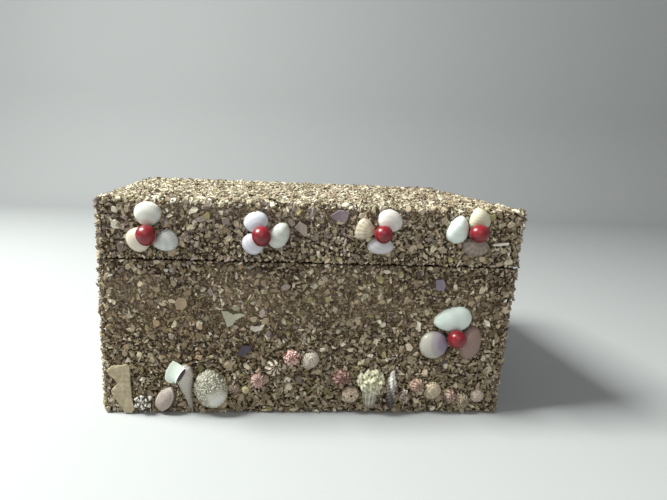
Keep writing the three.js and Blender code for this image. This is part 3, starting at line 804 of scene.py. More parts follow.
# %% Shell finish
def shell_finish(name, stops, roughness=0.35, coat=0.15, grain=0.25, scale=1100):
    """Base colour = ramp(tone + a little noise) with a faint relief; grain is how much the noise moves
    the tone and scale how fine it is, in repeats per metre."""
    material, nodes, links, shader = new_material(name, roughness, 0.5, coat)
    shader.inputs["Coat Roughness"].default_value = 0.2
    tone = nodes.new("ShaderNodeAttribute")
    tone.attribute_name = "tone"
    cloud = noise(nodes, links, object_coordinates(nodes), scale, 4)
    shift = nodes.new("ShaderNodeMath")
    shift.operation = "MULTIPLY_ADD"
    links.new(cloud, shift.inputs[0])
    shift.inputs[1].default_value = grain
    shift.inputs[2].default_value = -grain / 2
    total = nodes.new("ShaderNodeMath")
    links.new(tone.outputs["Fac"], total.inputs[0])
    links.new(shift.outputs[0], total.inputs[1])
    links.new(ramp(nodes, links, total.outputs[0], stops), shader.inputs["Base Color"])
    bump(nodes, links, shader, cloud, 0.0002, 0.3)
    return material


def paint(piece, tone):
    """Gives each vertex of a piece its tone."""
    layer = piece.data.attributes.new("tone", "FLOAT", "POINT")
    layer.data.foreach_set("value", np.asarray(tone, np.float32))


SINK = 1.6                 # how deep a shell's base goes into the crust


def fit_to_front(points, node):
    """Turns a shape lying on its back (crown towards +Z) to face -Y and stretches it to its node's box."""
    low, high = node_box(node)
    face = np.stack([points[:, 0], -points[:, 2], points[:, 1]], 1)
    near, far = face.min(0), face.max(0)
    place = low + (face - near) / (far - near) * (high - low)
    deep = (face[:, 1] - near[1]) / (far[1] - near[1])
    place[:, 1] = low[1] + deep * (high[1] + SINK - low[1])
    return place


def glue_on(node, points, faces, tone, material, slot, smooth=True):
    """Makes the fitted piece for one node, painted and finished, and fixes it to the box."""
    piece = make_piece(node + "_shell", fit_to_front(points, node), faces, smooth)
    paint(piece, tone)
    piece.data.materials.append(material)
    ride(piece, slot, node)


print("shell helpers ready")

# %% [markdown]
# ### One valve of a bivalve
# A valve is a dome that is narrower at its beak. It grew from the beak outwards, so its rings are steps
# of distance from the beak, and its ribs are steps of direction from it. The same two numbers drive the
# relief and the colour.

# %% Valve formula
BEAK = np.array([0, 0.86])             # where a valve started to grow
LENGTH = 1.9                           # from the beak to the far edge
DOME, SKIRT = 0.6, 0.12                # height of the dome, and how far its skirt hangs below the plan


def outward(points, middle):
    """Directions away from a middle point, one long, with the height counted 1.6 times."""
    away = (points - middle) * [1, 1, 1.6]
    return away / (np.linalg.norm(away, axis=1, keepdims=True) + 1e-9)


def valve(ratio, taper, degrees, crown=0.2, ribs=0, rib_height=0.0, rings=0, ring_height=0.0, sides=96,
          steps=26):
    """Plan: x = ratio cos(a)(1 - taper sin(a)), y = sin(a), beak at +y, then turned. Height = DOME
    sin(climb) ** 0.7, the rings of the plan shrinking by cos(climb) towards a crown nearer the beak.
    Returns points, faces, the direction from the beak in radians and the distance from it (0 to 1)."""
    climb = np.linspace(0, math.pi / 2, steps)[:-1]
    climb, angle = np.meshgrid(climb, round_turn(sides), indexing="ij")
    reach = np.cos(climb)
    x = ratio * np.cos(angle) * (1 - taper * np.sin(angle)) * reach
    y = np.sin(angle) * reach + crown * (1 - reach)
    flat = np.stack([x, y, DOME * np.sin(climb) ** 0.7], -1).reshape(-1, 3)
    skirt = flat[:sides] * [1, 1, 0] - [0, 0, SKIRT]
    points = np.concatenate([skirt, flat, [[0, crown, DOME]], [[0, 0, -SKIRT]]])
    from_beak = points[:, :2] - BEAK
    distance = np.hypot(from_beak[:, 0], from_beak[:, 1]) / LENGTH
    direction = np.arctan2(from_beak[:, 0], -from_beak[:, 1])
    relief = rib_height * np.cos(ribs * direction) + ring_height * np.cos(math.tau * rings * distance)
    relief *= np.clip(points[:, 2] / 0.1, 0, 1) * np.clip(distance * 5 - 0.4, 0, 1)
    points = points + outward(points, [0, crown, 0]) * relief[:, None]
    return turned(points, degrees - 90), closed_grid(steps, sides), direction, distance


print("valve formula ready")

# %% [markdown]
# ### Petals
# Each flower is three valves round a seed. They differ in tint, in outline and in how strongly they are
# ribbed. Most are pale and smooth, a few are finely ribbed fans, two are brown and ribbed, one is pinkish
# brown with rings, and one is cream with lilac bands.

# %% Petals
PETALS = {
    # node: ratio, taper, turn, ribs, rib height, rings, ring height, light tint, dark tint
    "flower1_petal_top": (1.12, 0.08, 270, 52, 0.009, 3, 0.002, (210, 212, 203), (180, 181, 172)),
    "flower1_petal_left": (1.01, 0.10, 40, 44, 0.003, 6, 0.002, (214, 205, 188), (194, 182, 164)),
    "flower1_petal_right": (0.88, 0.25, 205, 44, 0.007, 3, 0.003, (202, 205, 200), (166, 168, 163)),
    "flower2_petal_top": (1.21, 0.05, 285, 0, 0, 4, 0.002, (202, 205, 213), (186, 189, 199)),
    "flower2_petal_right": (0.72, 0.12, 63, 0, 0, 4, 0.003, (200, 203, 195), (176, 179, 170)),
    "flower2_petal_left": (1.05, 0.05, 50, 0, 0, 4, 0.002, (206, 205, 212), (186, 183, 193)),
    "flower3_petal_top": (1.15, 0.08, 245, 0, 0, 4, 0.003, (214, 210, 204), (196, 191, 184)),
    "flower3_petal_left": (1.03, 0.50, 345, 22, 0.007, 3, 0.004, (190, 180, 158), (146, 134, 112)),
    "flower3_petal_bottom": (1.46, 0.15, 90, 0, 0, 4, 0.003, (200, 199, 200), (180, 177, 181)),
    "flower4_petal_left": (0.75, 0.22, 80, 0, 0, 4, 0.002, (216, 227, 220), (198, 210, 202)),
    "flower4_petal_top": (0.94, 0.25, 100, 0, 0, 7, 0.003, (206, 202, 178), (178, 173, 146)),
    "flower4_petal_bottom": (1.40, 0.10, 85, 18, 0.004, 4, 0.003, (148, 134, 122), (106, 94, 86)),
    "flower5_petal_top": (0.66, 0.20, 188, 0, 0, 3, 0.002, (220, 232, 225), (202, 215, 207)),
    "flower5_petal_left": (0.98, 0.08, 20, 0, 0, 2, 0.002, (176, 173, 162), (134, 122, 140)),
    "flower5_petal_right": (1.56, 0.05, 172, 0, 0, 7, 0.003, (150, 124, 114), (96, 76, 72)),
}
BROWN = ("flower3_petal_left", "flower4_petal_bottom", "flower5_petal_right")
BANDED = "flower5_petal_left"        # its outer third is cream, then two lilac bands, darker towards the seed


def soft_step(x, middle, width):
    """0 well below the middle and 1 well above it: 1 / (1 + exp(-(x - middle) / width))."""
    return 1 / (1 + np.exp(-(x - middle) / width))


for node, (ratio, taper, degrees, ribs, rib_height, rings, ring_height, light, dark) in PETALS.items():
    shape = (ratio, taper, degrees, 0.2, ribs, rib_height, rings, ring_height)
    points, faces, direction, distance = valve(*shape)
    tone = 0.6 + 0.2 * np.cos(ribs * direction) * (ribs > 0) + 0.14 * np.cos(math.tau * rings * distance)
    if node == BANDED:
        tone = 0.1 + 0.35 * soft_step(distance, 0.40, 0.03) + 0.4 * soft_step(distance, 0.64, 0.02)
    finish = shell_finish(node + "_finish", [(0.1, dark), (0.8, light)], roughness=0.40, coat=0.16)
    glue_on(node, points, faces, tone, finish, "brown_valve" if node in BROWN else "white_valve")
print(len(PETALS), "petals")

# %% [markdown]
# ### Seeds
# The red seeds are hard, polished and a little egg-shaped. A clear coat over a strong red gives the small
# sharp highlight that tells them from painted wood.

# %% Seeds
def seed_finish():
    """Deep red with slow darker clouds, under a clear coat."""
    material, nodes, links, shader = new_material("red_seed", 0.38, 0.45, coat=0.35)
    shader.inputs["Coat Roughness"].default_value = 0.16
    cloud = noise(nodes, links, object_coordinates(nodes), 180, 3)
    red = ramp(nodes, links, cloud, [(0.3, (98, 7, 20)), (0.7, (134, 11, 26))])
    links.new(red, shader.inputs["Base Color"])
    return material


def seed(node, finish):
    """An egg: a ball whose width is changed by 7 hundredths of its height, fitted to the node's box."""
    low, high = node_box(node)
    egg, faces = sphere(40, 24)
    egg[:, :2] *= 1 + 0.07 * egg[:, 2:]
    piece = make_piece(node + "_bead", (low + high) / 2 + egg * (high - low) / 2, faces)
    piece.data.materials.append(finish)
    ride(piece, "red_seed", node)


red = seed_finish()
for flower in range(1, 6):
    seed(f"flower{flower}_seed", red)
print("5 seeds")

# %% [markdown]
# ### Sea snails
# A snail's shell is one tube wound round an axis, every turn a fixed number of times larger than the
# last. Glued mouth down, it shows an oval with its spire off the middle, and a seam winding out from the
# spire in a spiral whose distance grows by the same factor each turn. Blotches, rows of spots and ribs
# are waves along the tube and across it.

# %% Coil formula
TURNS = 3.2                # how many turns of the tube show, from the edge to the spire's tip
SPIRE, HANG = 0.8, 0.3     # height of the spire, and how far a shell's skirt hangs below its plan


def coil(ratio, degrees, lean, growth=2.2, bulge=0.13, ribs=0, rib=0.0, knobs=0, knob=0.0,
         around=84, steps=38):
    """A coiled shell seen from its spire. A point lies at angle a round the apex and at a share r of
    the way from the apex to the oval outline. The seam between turns is the spiral where -log(r) /
    log(growth) + a / 2 pi is a whole number; between seams each turn bulges as a rounded half sine.
    Height = SPIRE sqrt(1 - r ** 2.2) plus the bulge. Returns points, faces, turns along the tube and
    place across it (0 at the inner seam, 1 at the outer)."""
    r = np.concatenate([[1.0], np.linspace(0.985, growth ** -TURNS + 0.02, steps - 1)])
    r, angle = np.meshgrid(r, round_turn(around), indexing="ij")
    winding = -np.log(r) / math.log(growth) + angle / math.tau
    place = 1 - (winding - np.floor(winding))
    along = angle / math.tau - np.floor(winding)
    wave, row = np.cos(math.tau * ribs * along), np.cos(math.tau * knobs * (place - 0.5))
    relief = 1 + rib * wave + knob * wave.clip(0, 1) * row.clip(0, 1)
    height = SPIRE * np.sqrt(np.clip(1 - r ** 2.2, 0, 1)) * (1 + 0.3 * (relief - 1))
    hump = np.sin(math.pi * place) ** 0.7
    height = height + bulge * hump * relief * r ** 0.5 * np.clip((1 - r) * 12, 0, 1)
    flare = 1 + 0.25 * (relief - 1) * r
    x, y = ratio * np.cos(angle) * r * flare, np.sin(angle) * r * flare + lean * (1 - r)
    flat = np.stack([x, y, height], -1).reshape(-1, 3)
    skirt = flat[:around] * [1, 1, 0] - [0, 0, HANG]
    points = np.concatenate([skirt, flat, [[0, lean, height[-1].mean() + 0.02]], [[0, 0, -HANG]]])
    along = np.concatenate([along[0], along.ravel(), [0, 0]])
    place = np.concatenate([place[0], place.ravel(), [0.5, 0.5]])
    return turned(points, degrees - 90), closed_grid(steps + 1, around), along, place


def spots(t, v, along, around):
    """Rows of round spots along the tube, every other row moved half a step; 1 in a spot, 0 between."""
    row = np.floor(v * around)
    size = np.sin(math.pi * (v * around)) ** 2 * np.cos(math.pi * (t * along + row / 2)) ** 2
    return np.clip(1.6 * size, 0, 1)


def blotches(t, v, number):
    """Uneven patches: a sum of seven waves of random direction along and round the tube, spread over 0
    to 1."""
    draw = np.random.default_rng(number)
    total = np.zeros_like(t)
    for _ in range(7):
        total += np.cos(math.tau * (draw.uniform(2, 9) * t + draw.integers(-3, 4) * v + draw.random()))
    return 0.5 + total / 5.0


print("coil formula ready")

# %% Snails of the row
SNAILS = {
    # node: ratio, turn in degrees, lean of the spire, ribs to a turn, rib height, pattern, stops from 0 to 1
    "snail_dark": (0.9, 70, 0.3, 0, 0, "blotch", [
        (0.2, (84, 64, 56)), (0.6, (132, 108, 94)), (0.9, (176, 158, 140))]),
    "snail_cream": (0.9, 100, 0.2, 9, 0.3, "plain", [
        (0.2, (150, 134, 96)), (0.8, (206, 196, 156))]),
    "snail_rose": (0.75, 100, 0.5, 12, 0.9, "spots", [
        (0.05, (236, 218, 206)), (0.4, (196, 146, 136)), (0.75, (118, 62, 58))]),
    "snail_zebra": (0.95, 60, 0.6, 8, 0.7, "zebra", [
        (0.3, (224, 214, 192)), (0.55, (140, 122, 100)), (0.7, (70, 58, 48))]),
    "snail_pink": (0.97, 120, 0.4, 12, 0.7, "blotch", [
        (0.15, (120, 68, 62)), (0.4, (184, 134, 124)), (0.75, (236, 212, 202))]),
    "snail_speckled": (0.82, 50, 0.5, 0, 0, "speckle", [
        (0.05, (206, 198, 184)), (0.3, (164, 153, 138)), (0.6, (88, 76, 66))]),
    "snail_red": (0.85, 20, 0.4, 13, 0.8, "blotch", [
        (0.1, (86, 60, 54)), (0.45, (136, 100, 91)), (0.85, (180, 145, 135))]),
    "snail_umbilicus": (1.0, 90, 0.05, 0, 0, "rings", [
        (0.1, (74, 60, 50)), (0.45, (164, 146, 124)), (0.8, (206, 190, 166))]),
    "snail_grey": (0.67, 105, 0.6, 9, 0.8, "blotch", [
        (0.15, (96, 80, 72)), (0.5, (160, 142, 128)), (0.8, (218, 206, 194))]),
    "snail_coral": (0.98, 60, 0.4, 12, 0.7, "blotch", [
        (0.1, (108, 71, 60)), (0.45, (162, 124, 107)), (0.8, (212, 192, 174))]),
    "snail_net": (0.9, 75, 0.5, 0, 0, "speckle", [
        (0.05, (210, 198, 172)), (0.3, (166, 148, 120)), (0.6, (92, 76, 58))]),
    "snail_blush": (0.82, 80, 0.4, 9, 0.4, "blotch", [
        (0.1, (98, 70, 62)), (0.45, (150, 120, 108)), (0.85, (194, 172, 160))]),
    "snail_ribbed": (0.8, 95, 0.4, 14, 0.8, "spots", [
        (0.1, (196, 184, 160)), (0.5, (150, 137, 114)), (0.8, (88, 76, 62))]),
    "snail_last": (0.9, 70, 0.2, 0, 0, "rings", [
        (0.1, (120, 104, 92)), (0.5, (168, 152, 136)), (0.9, (210, 196, 182))]),
}
HOLE = 0.16                # radius of the open middle of the snail that lies on its spire


def pattern(kind, t, v, number):
    """The tone of a snail: one of six ways to mark the tube."""
    if kind == "spots":
        return spots(t, v, 12, 4)
    if kind == "speckle":
        return spots(t, v, 22, 6) * (0.55 + 0.6 * blotches(t, v, number))
    if kind == "zebra":
        return 0.5 + 0.5 * np.cos(math.tau * (8 * t + 0.12 * np.sin(math.tau * v)))
    if kind == "rings":
        return 0.55 + 0.14 * np.cos(2 * math.tau * v) + 0.16 * np.cos(40 * t)
    if kind == "plain":
        return 0.6 + 0.1 * np.cos(50 * t)
    return blotches(t, v, number)


for number, (node, (ratio, degrees, lean, ribs, rib, kind, stops)) in enumerate(SNAILS.items()):
    points, faces, t, v = coil(ratio, degrees, lean, ribs=ribs, rib=rib * 0.5)
    tone = pattern(kind, t, v, number)
    if node == "snail_umbilicus":
        hole = np.hypot(points[:, 0], points[:, 1]) < HOLE
        points[hole, 2] -= 0.5
        # painted shade: the sunken hole gets the darkest tone
        tone[hole] = 0
    finish = shell_finish(node + "_finish", stops, roughness=0.42, coat=0.1, grain=0.3)
    glue_on(node, points, faces, tone, finish, "coiled_shell")
print(len(SNAILS), "snails")

# %% [markdown]
# ### The rough shells at the left corner
# These are the larger, weathered shells: a little knobbed snail, a worn valve with a ridge, a cockle
# netted with knobs, and half a whelk whose lip stands up like a pale leaf over its dark mouth.

# %% Knobbed snail, worn valve, cockle
KNOBS_A_TURN, KNOB_ROWS = 6, 2
points, faces, t, v = coil(0.95, 120, 0.3, growth=2.9, bulge=0.26, ribs=KNOBS_A_TURN, knobs=KNOB_ROWS,
                           knob=1.2, around=128, steps=56)
knob_tone = np.clip(np.cos(math.tau * KNOBS_A_TURN * t) + 0.45, 0, 1)
knob_tone *= np.clip(np.cos(math.tau * KNOB_ROWS * (v - 0.5)) + 0.45, 0, 1)
knobbed = shell_finish("knobby_shell_finish",
                       [(0.0, (72, 62, 54)), (0.14, (150, 141, 128)), (0.4, (228, 225, 216))])
glue_on("knobby_shell", points, faces, knob_tone, knobbed, "rough_shell")


DISC_EDGE = 0.95           # where the worn valve's disc ends, in its own oval


def worn_valve():
    """A valve whose domed disc fills its left two thirds; a fine ridge, painted bright as a highlight, rims
    the disc, and past it the shell falls away, painted darker as shade. The disc is where
    ((x + 0.14) / 0.56) ** 2 + (y / 0.97) ** 2 is under DISC_EDGE ** 2."""
    points, faces, _, distance = valve(0.70, 0.12, 90, 0.1)
    edge = np.sqrt(((points[:, 0] + 0.14) / 0.56) ** 2 + (points[:, 1] / 0.97) ** 2)
    outside = np.clip((edge - DISC_EDGE) / 0.25, 0, 1)
    ridge = np.exp(-((edge - DISC_EDGE) / 0.05) ** 2)
    points[:, 2] += np.where(points[:, 2] > 0.02, 0.04 * ridge - 0.16 * outside, 0)
    # painted highlight on the ridge and painted shade on the side that falls away past it
    tone = 0.5 + 0.05 * np.cos(60 * distance) + 0.35 * ridge - 0.4 * outside
    return turned(points, 62 - 90), faces, tone


worn = shell_finish("oval_clam_finish",
                    [(0.1, (80, 69, 63)), (0.45, (152, 139, 129)), (0.9, (204, 195, 186))],
                    roughness=0.6, coat=0.0, grain=0.7)
glue_on("oval_clam", *worn_valve(), worn, "rough_shell")


def cockle():
    """A high dome with its worn white beak low on the right. Ribs spread from the beak and are cut into
    small knobs by rings; a slow wave makes both uneven, and they fade out round the beak."""
    points, faces, _, _ = valve(0.82, 0.0, 90, 0.1, sides=156, steps=50)
    points = turned(points, 18)
    x, y = points[:, 0], points[:, 1]
    from_beak = np.array([x - 0.34, y + 0.40])
    distance, direction = np.hypot(*from_beak), np.arctan2(*from_beak)
    sway = 0.07 * np.sin(9 * x + 4 * y) + 0.06 * np.sin(13 * y - 7 * x) + 0.03 * np.sin(29 * x + 23 * y)
    rib = np.cos(26 * (direction + sway))
    ring = np.cos(9 * math.tau * (distance + 0.5 * sway))
    carved = soft_step(distance + 0.9 * sway, 0.34, 0.09)
    net = np.clip(0.62 + 0.38 * rib, 0, 1) * np.clip(0.62 + 0.38 * ring, 0, 1)
    relief = (net - 0.5) * 0.065 * carved * np.clip(points[:, 2] * 8, 0, 1)
    tone = (0.16 + 0.66 * net) * carved + (1 - carved)
    return points + outward(points, 0) * relief[:, None], faces, tone


netted = shell_finish("cockle_finish", [(0.05, (72, 68, 56)), (0.25, (128, 124, 106)), (0.5, (182, 180, 162)),
                                        (0.8, (208, 207, 193)), (1.0, (206, 203, 208))],
                      roughness=0.5, coat=0.05, grain=0.45)
glue_on("cockle", *cockle(), netted, "rough_shell")
print("knobbed snail, worn valve and cockle")

# %% [markdown]
# ### Shells made of several surfaces
# The whelk, the murex and the barnacle cone are long shells: a profile of half widths along the length,
# carried round and pressed flatter on the side that lies in the glue. Cups, a lip or a mouth are further
# surfaces added to the same mesh. One tone still colours the whole.

# %% Long shells
def smooth_curve(given, values, wanted):
    """Values between the given places, half way from straight lines to half cosines, which softens the
    corners."""
    place = np.clip(np.searchsorted(given, wanted, side="right") - 1, 0, len(given) - 2)
    part = (wanted - given[place]) / (given[place + 1] - given[place])
    part = 0.5 * part + 0.5 * (0.5 - 0.5 * np.cos(math.pi * part))
    return values[place] + (values[place + 1] - values[place]) * part


UNDER = 0.35               # height of a long shell's lower side, as a share of its upper one's


def spindle(stations, flatness, cords, cord, ribs=0, rib=0.0, twist=0.0, along=90, around=40):
    """Half widths and sideways shifts given at stations (y, half, shift) are smoothed along y.
    Cross-section: a round, flatness times as high as it is wide and pressed flatter below; spiral cords
    follow y and ribs follow angle + twist times y. Returns points, faces, y, the angle and the strength
    of the relief."""
    y_given, half_given, shift_given = np.array(stations).T
    y = np.linspace(y_given[0], y_given[-1], along)
    half, shift = (smooth_curve(y_given, given, y)[:, None] for given in (half_given, shift_given))
    y, angle = np.meshgrid(y, round_turn(around), indexing="ij")
    share = (y - y_given[0]) / (y_given[-1] - y_given[0])
    bumps = cord * np.cos(math.tau * cords * share + angle) + rib * np.cos(ribs * angle + twist * y)
    radius = half * (1 + bumps)
    lower = np.where(np.sin(angle) < 0, UNDER, 1.0)
    points = np.stack([shift + radius * np.cos(angle), y, radius * flatness * np.sin(angle) * lower], -1)
    points = points.reshape(-1, 3)
    points = np.concatenate([points, [points[:around].mean(0)], [points[-around:].mean(0)]])
    y, angle, bumps = np.append(y, y_given[[0, -1]]), np.append(angle, [0, 0]), np.append(bumps, [0, 0])
    return points, closed_grid(along, around, inside_out=True), y, angle, bumps


print("long shell helpers ready")

# %% Broken whelk
def bezier(u, *corners):
    """A cubic curve from four (x, y) corners."""
    a, b, c, d = np.array(corners, float)
    u = u[..., None]
    return (1 - u) ** 3 * a + 3 * u * (1 - u) ** 2 * b + 3 * u ** 2 * (1 - u) * c + u ** 3 * d


def whelk_lip(sides=48, steps=18, thick=0.6):
    """The lip, a leaf between two cubic curves: u runs along both, v from the mouth's ridge (0) to the
    free edge (1). It is highest at the ridge and hollow between; its back is the same leaf a thickness
    lower."""
    u, v = np.meshgrid(np.linspace(0, 1, sides), np.linspace(0, 1, steps), indexing="ij")
    ridge = bezier(u, (-4.4, 2.6), (-3.4, 5.6), (-1.0, 11.2), (1.9, 13.0))
    edge = bezier(u, (-5.2, 1.8), (-13.8, 0.6), (-11.8, 11.0), (-5.9, 16.4))
    plan = ridge + (edge - ridge) * v[..., None]
    height = 8.8 - 1.4 * (2 * u - 1) ** 2 - 4.2 * v - 1.3 * np.sin(math.pi * v)
    height = height + 0.7 * np.exp(-((v - 0.02) / 0.05) ** 2)
    face = np.dstack([plan, height]).reshape(-1, 3)
    number = np.arange(sides * steps).reshape(sides, steps)
    rim = np.concatenate([number[0], number[1:, -1], number[-1, -2::-1], number[-2:0:-1, 0]])
    after = np.roll(rim, -1)
    walls = np.stack([after, after + number.size, rim + number.size, rim], 1)
    leaf = grid_faces(sides, steps, wrap=False)
    tone = 0.84 + 0.10 * v + 0.16 * np.exp(-((v - 0.02) / 0.06) ** 2)
    points = np.concatenate([face, face - [0, 0, thick]])
    return points, [leaf[:, ::-1], leaf + number.size, walls], np.tile(tone.ravel(), 2)


def ball(centre, half, degrees, tone):
    """An ellipsoid of given half sizes turned about Z."""
    points, faces = sphere(20, 12)
    return turned(points * half, degrees) + centre, faces, tone


stations = [(-16.6, 1.3, 5.0), (-13, 1.9, 4.4), (-8, 2.5, 3.1), (-4, 3.6, 2.0), (2, 5.1, 1.2), (7, 5.3, 1.2),
            (11, 3.9, 1.3), (13.4, 1.4, 1.1)]
points, faces, y, angle, bumps = spindle(stations, 1.35, cords=20, cord=0.022)
# the ball of tone 0, the darkest colour, is painted shade filling the whelk's hollow mouth
parts = [(points, faces, 0.47 + 0.012 * (y - 4) + 3.0 * bumps), whelk_lip(),
         ball([-0.9, 7.8, 5.4], [1.7, 4.9, 2.6], -28, 0.0)]
whelk = shell_finish("broken_whelk_finish", [
    (0.0, (62, 42, 38)), (0.15, (118, 108, 100)), (0.4, (172, 165, 156)), (0.62, (204, 199, 190)),
    (0.85, (192, 208, 196)), (1.0, (232, 236, 226))], roughness=0.38, coat=0.15, grain=0.12)
glue_on("broken_whelk", *joined(parts), whelk, "rough_shell")
print("whelk")

# %% Murex and barnacle cone
stations = [(-14.4, 0.7, 0.6), (-10, 2.1, 0.3), (-5, 3.3, 0), (0, 3.5, 0), (4, 4.1, 0), (7, 3.7, 0),
            (10, 2.0, 0.2), (14.4, 1.2, 0.6)]
points, faces, y, angle, bumps = spindle(stations, 1.3, cords=7, cord=0.07, ribs=7, rib=0.09)
sway = np.stack([np.sin(2.3 * y + 3 * angle), np.sin(1.9 * y - 2 * angle)], 1)
points[:, :2] += 0.5 * sway * np.clip(bumps * 10, 0, 1)[:, None]
knobs_tone = np.clip(np.cos(7 * math.tau * y / np.ptp(y) + angle) * np.cos(6 * angle + y), -0.3, 1)
murex = shell_finish("murex_finish", [
    (0.1, (70, 62, 64)), (0.3, (112, 102, 98)), (0.55, (160, 150, 142)), (0.8, (214, 212, 204)),
    (1.0, (236, 236, 230))], roughness=0.45, coat=0.1, grain=0.25)
glue_on("murex", points, faces, 0.36 + 0.045 * np.clip(y, -7, 9) + 0.40 * knobs_tone, murex, "rough_shell")

CUP_RINGS = np.array([
    # height, width, unevenness, tone of each ring, from the foot over the rim into the mouth
    (0.0, 1.0, 0, 0.5), (0.45, 0.92, 0.6, 0.66), (0.85, 0.76, 1, 0.84), (1.0, 0.56, 1.4, 1.0),
    (0.85, 0.34, 1.0, 0.8), (0.62, 0.16, 0.8, 0.6),
])


def cup(centre, radius, rise, draw, sides=14):
    """A barnacle: up a rough cone, over a torn rim and down into its mouth; draw gives the uneven corners."""
    level, wide, uneven, tone = CUP_RINGS.T[..., None]
    angle = (np.arange(sides) + draw.uniform(-0.2, 0.2, sides)) / sides * math.tau
    out = radius * wide * (1 + draw.uniform(-0.36, 0.36, (len(level), sides)))
    ragged = draw.uniform(-0.28, 0.28, (len(level), sides)) * uneven
    points = np.stack([out * np.cos(angle), out * np.sin(angle), rise * (level + ragged)], -1).reshape(-1, 3)
    points = np.concatenate([points, [[0, 0, rise * 0.3]], [[0, 0, 0]]]) + centre
    return points, closed_grid(len(level), sides), np.append(np.repeat(tone, sides), [0.5, 0.4])


draw = np.random.default_rng(21)
stations = [(-10.2, 2.6, 0.6), (-8, 4.0, 0.5), (-2, 5.4, 0.2), (5, 5.8, 0.3), (8, 4.6, 0.4)]
points, faces, y, angle, bumps = spindle(stations, 1.1, cords=3, cord=0.03, ribs=11, rib=0.07, twist=0.16)
CUPS = [
    # place across and along the shell, radius and height
    (-6.4, 11.0, 3.6, 6.2), (-2.2, 13.6, 3.2, 5.6), (2.4, 14.0, 3.4, 6.4), (7.0, 11.8, 3.2, 5.8),
    (-3.4, 8.6, 3.8, 8.4), (1.4, 9.8, 3.8, 8.8), (5.6, 7.8, 3.4, 7.6), (-5.4, 5.6, 3.2, 7.4),
    (0.2, 5.4, 3.2, 9.0), (4.4, 3.6, 2.6, 7.6), (8.4, 8.6, 2.6, 4.4), (-8.2, 8.2, 2.6, 4.2),
]
parts = [(points, faces, 0.44 + 1.9 * bumps + 0.01 * y)]
parts += [cup([x, high, 0.0], radius, rise, draw) for x, high, radius, rise in CUPS]
barnacled = shell_finish("barnacle_shell_finish", [
    (0.05, (84, 79, 68)), (0.35, (152, 146, 134)), (0.55, (198, 194, 176)), (0.8, (218, 215, 182)),
    (1.0, (238, 237, 212))], roughness=0.6, coat=0.0, grain=0.3)
glue_on("barnacle_shell", *joined(parts), barnacled, "rough_shell")
print("murex and barnacle cone,", len(CUPS), "barnacles")

# %% [markdown]
# ### The flat plate and the large chips
# Flat pieces of broken shell are an outline with a thickness. Each outline follows its node's solid;
# between its corners the edge is broken into small steps, the face is slightly bent, and the rim is
# rounded over.

# %% Flat pieces
SHARD_RINGS = [
    # drawn in by, height, tone
    # the rings of the sides have a lower tone than the face: painted shade on the sides
    (0.0, -0.6, 0.25), (0.0, 0.3, 0.25), (0.0, 0.86, 0.6), (0.22, 1.0, 0.55),
]


def shard(corners, step, roughness, bend, draw):
    """Walks round the outline in steps of a set length, moving each point a little off the line; copies
    that loop at the base, just under the face and, drawn in along its own normals, on the face; bends
    all by x squared."""
    corners = np.array(corners, float)
    after = np.roll(corners, -1, 0)
    counts = np.maximum(1, (np.linalg.norm(after - corners, axis=1) / step).astype(int))
    edges = [a + (b - a) * (np.arange(n) / n)[:, None] for a, b, n in zip(corners, after, counts)]
    loop = np.concatenate(edges)
    ahead, behind = np.roll(loop, -1, 0), np.roll(loop, 1, 0)
    along = (ahead - behind) / np.linalg.norm(ahead - behind, axis=1, keepdims=True)
    area = np.sum(loop[:, 0] * ahead[:, 1] - ahead[:, 0] * loop[:, 1])
    inward = np.stack([-along[:, 1], along[:, 0]], 1) * np.sign(area)
    loop = loop + inward * draw.uniform(-roughness, roughness, (len(loop), 1))
    if area < 0:
        loop, inward = loop[::-1], inward[::-1]
    count = len(loop)
    rings = [np.column_stack([loop + inward * into, np.full(count, level)]) for into, level, _ in SHARD_RINGS]
    points = np.concatenate(rings)
    points[:, 2] += bend * (points[:, 0] / np.abs(points[:, 0]).max()) ** 2
    ring = np.arange(count)[None]
    faces = [grid_faces(len(rings), count), ring[:, ::-1], ring + (len(rings) - 1) * count]
    return points, faces, np.repeat([tone for _, _, tone in SHARD_RINGS], count)


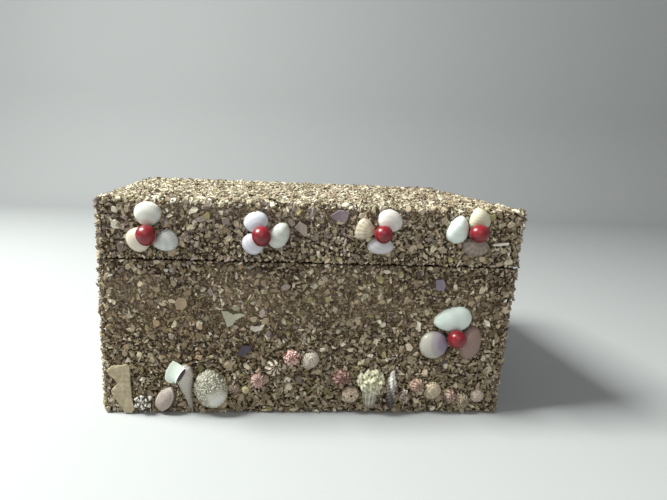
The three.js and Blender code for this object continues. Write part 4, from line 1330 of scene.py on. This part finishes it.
PLATE = [
    (-7.4, 29.0), (-5.2, 31.0), (3.9, 32.3), (5.5, 30.8), (5.7, 20.1), (6.1, 10.7), (7.6, 2.8), (6.0, 0),
    (1.4, 0.1), (-0.4, 4.2), (-5.4, 12.4), (-5.9, 15.0), (-2.2, 19.4), (-4.4, 23.3), (-7.2, 25.6),
]
CHIPS = {
    # node: outline, light and dark tint, bend
    "chip_purple_shard": ([(-5.6, 0.4), (-1.2, -3.4), (3.8, -3.2), (5.0, -0.6), (5.2, 3.8), (-0.6, 3.6)],
                          (142, 128, 132), (92, 78, 90), 0.6),
    "chip_grey_shard": ([(-4.0, 0.6), (1.8, -4.4), (3.6, -3.6), (3.0, 2.0), (-1.0, 4.4)],
                        (162, 148, 138), (112, 98, 92), 0.5),
    "chip_white_sliver": ([(-5.0, -1.1), (4.6, -0.2), (5.0, 0.7), (4.4, 1.4), (-4.8, 0.3)],
                          (236, 230, 216), (190, 182, 168), 0.3),
    "chip_green_shard": ([(-7.2, 5.0), (-5.0, -0.6), (-3.4, -5.6), (-0.4, -4.4), (1.6, -1.0), (7.2, 2.6),
                          (3.6, 3.8), (0.2, 2.4), (-3.2, 4.6)],
                         (184, 183, 160), (138, 138, 116), 0.9),
    "chip_white_curl": ([(-4.2, -0.6), (-1.4, -2.6), (2.4, -1.2), (4.2, 2.6), (2.0, 1.6), (-1.0, 0.8),
                         (-3.8, 1.6)],
                        (214, 206, 190), (164, 155, 140), 0.9),
    "chip_dark_purple": ([(-4.6, -3.8), (0.8, -2.8), (4.4, 0.8), (3.2, 3.6), (-1.4, 3.8), (-3.6, 0.8)],
                         (70, 58, 70), (46, 38, 46), 0.4),
    "chip_violet": ([(-2.2, -3.0), (2.6, -3.8), (3.2, 0.2), (1.6, 3.8), (-3.0, 3.4)],
                    (140, 128, 140), (96, 84, 98), 0.5),
    "chip_ochre": ([(-2.6, -3.6), (1.0, -4.2), (3.6, -0.6), (2.8, 3.2), (-1.2, 4.0), (-3.6, 0.8)],
                   (168, 148, 118), (120, 103, 80), 0.5),
}
draw = np.random.default_rng(5)
plate = shell_finish("plate_finish", [(0.1, (108, 98, 70)), (0.35, (150, 140, 110)), (0.55, (166, 153, 126)),
                                      (0.8, (190, 178, 152))], roughness=0.7, coat=0.0, grain=1.3, scale=380)
glue_on("plate", *shard(PLATE, 0.9, 0.12, 0.2, draw), plate, "rough_shell", smooth=False)
for node, (corners, light, dark, bend) in CHIPS.items():
    finish = shell_finish(node + "_finish", [(0.2, dark), (0.7, light)], roughness=0.45, coat=0.1, grain=0.5)
    glue_on(node, *shard(corners, 0.8, 0.14, bend, draw), finish, "shell_chip", smooth=False)
print("plate and", len(CHIPS), "large chips")
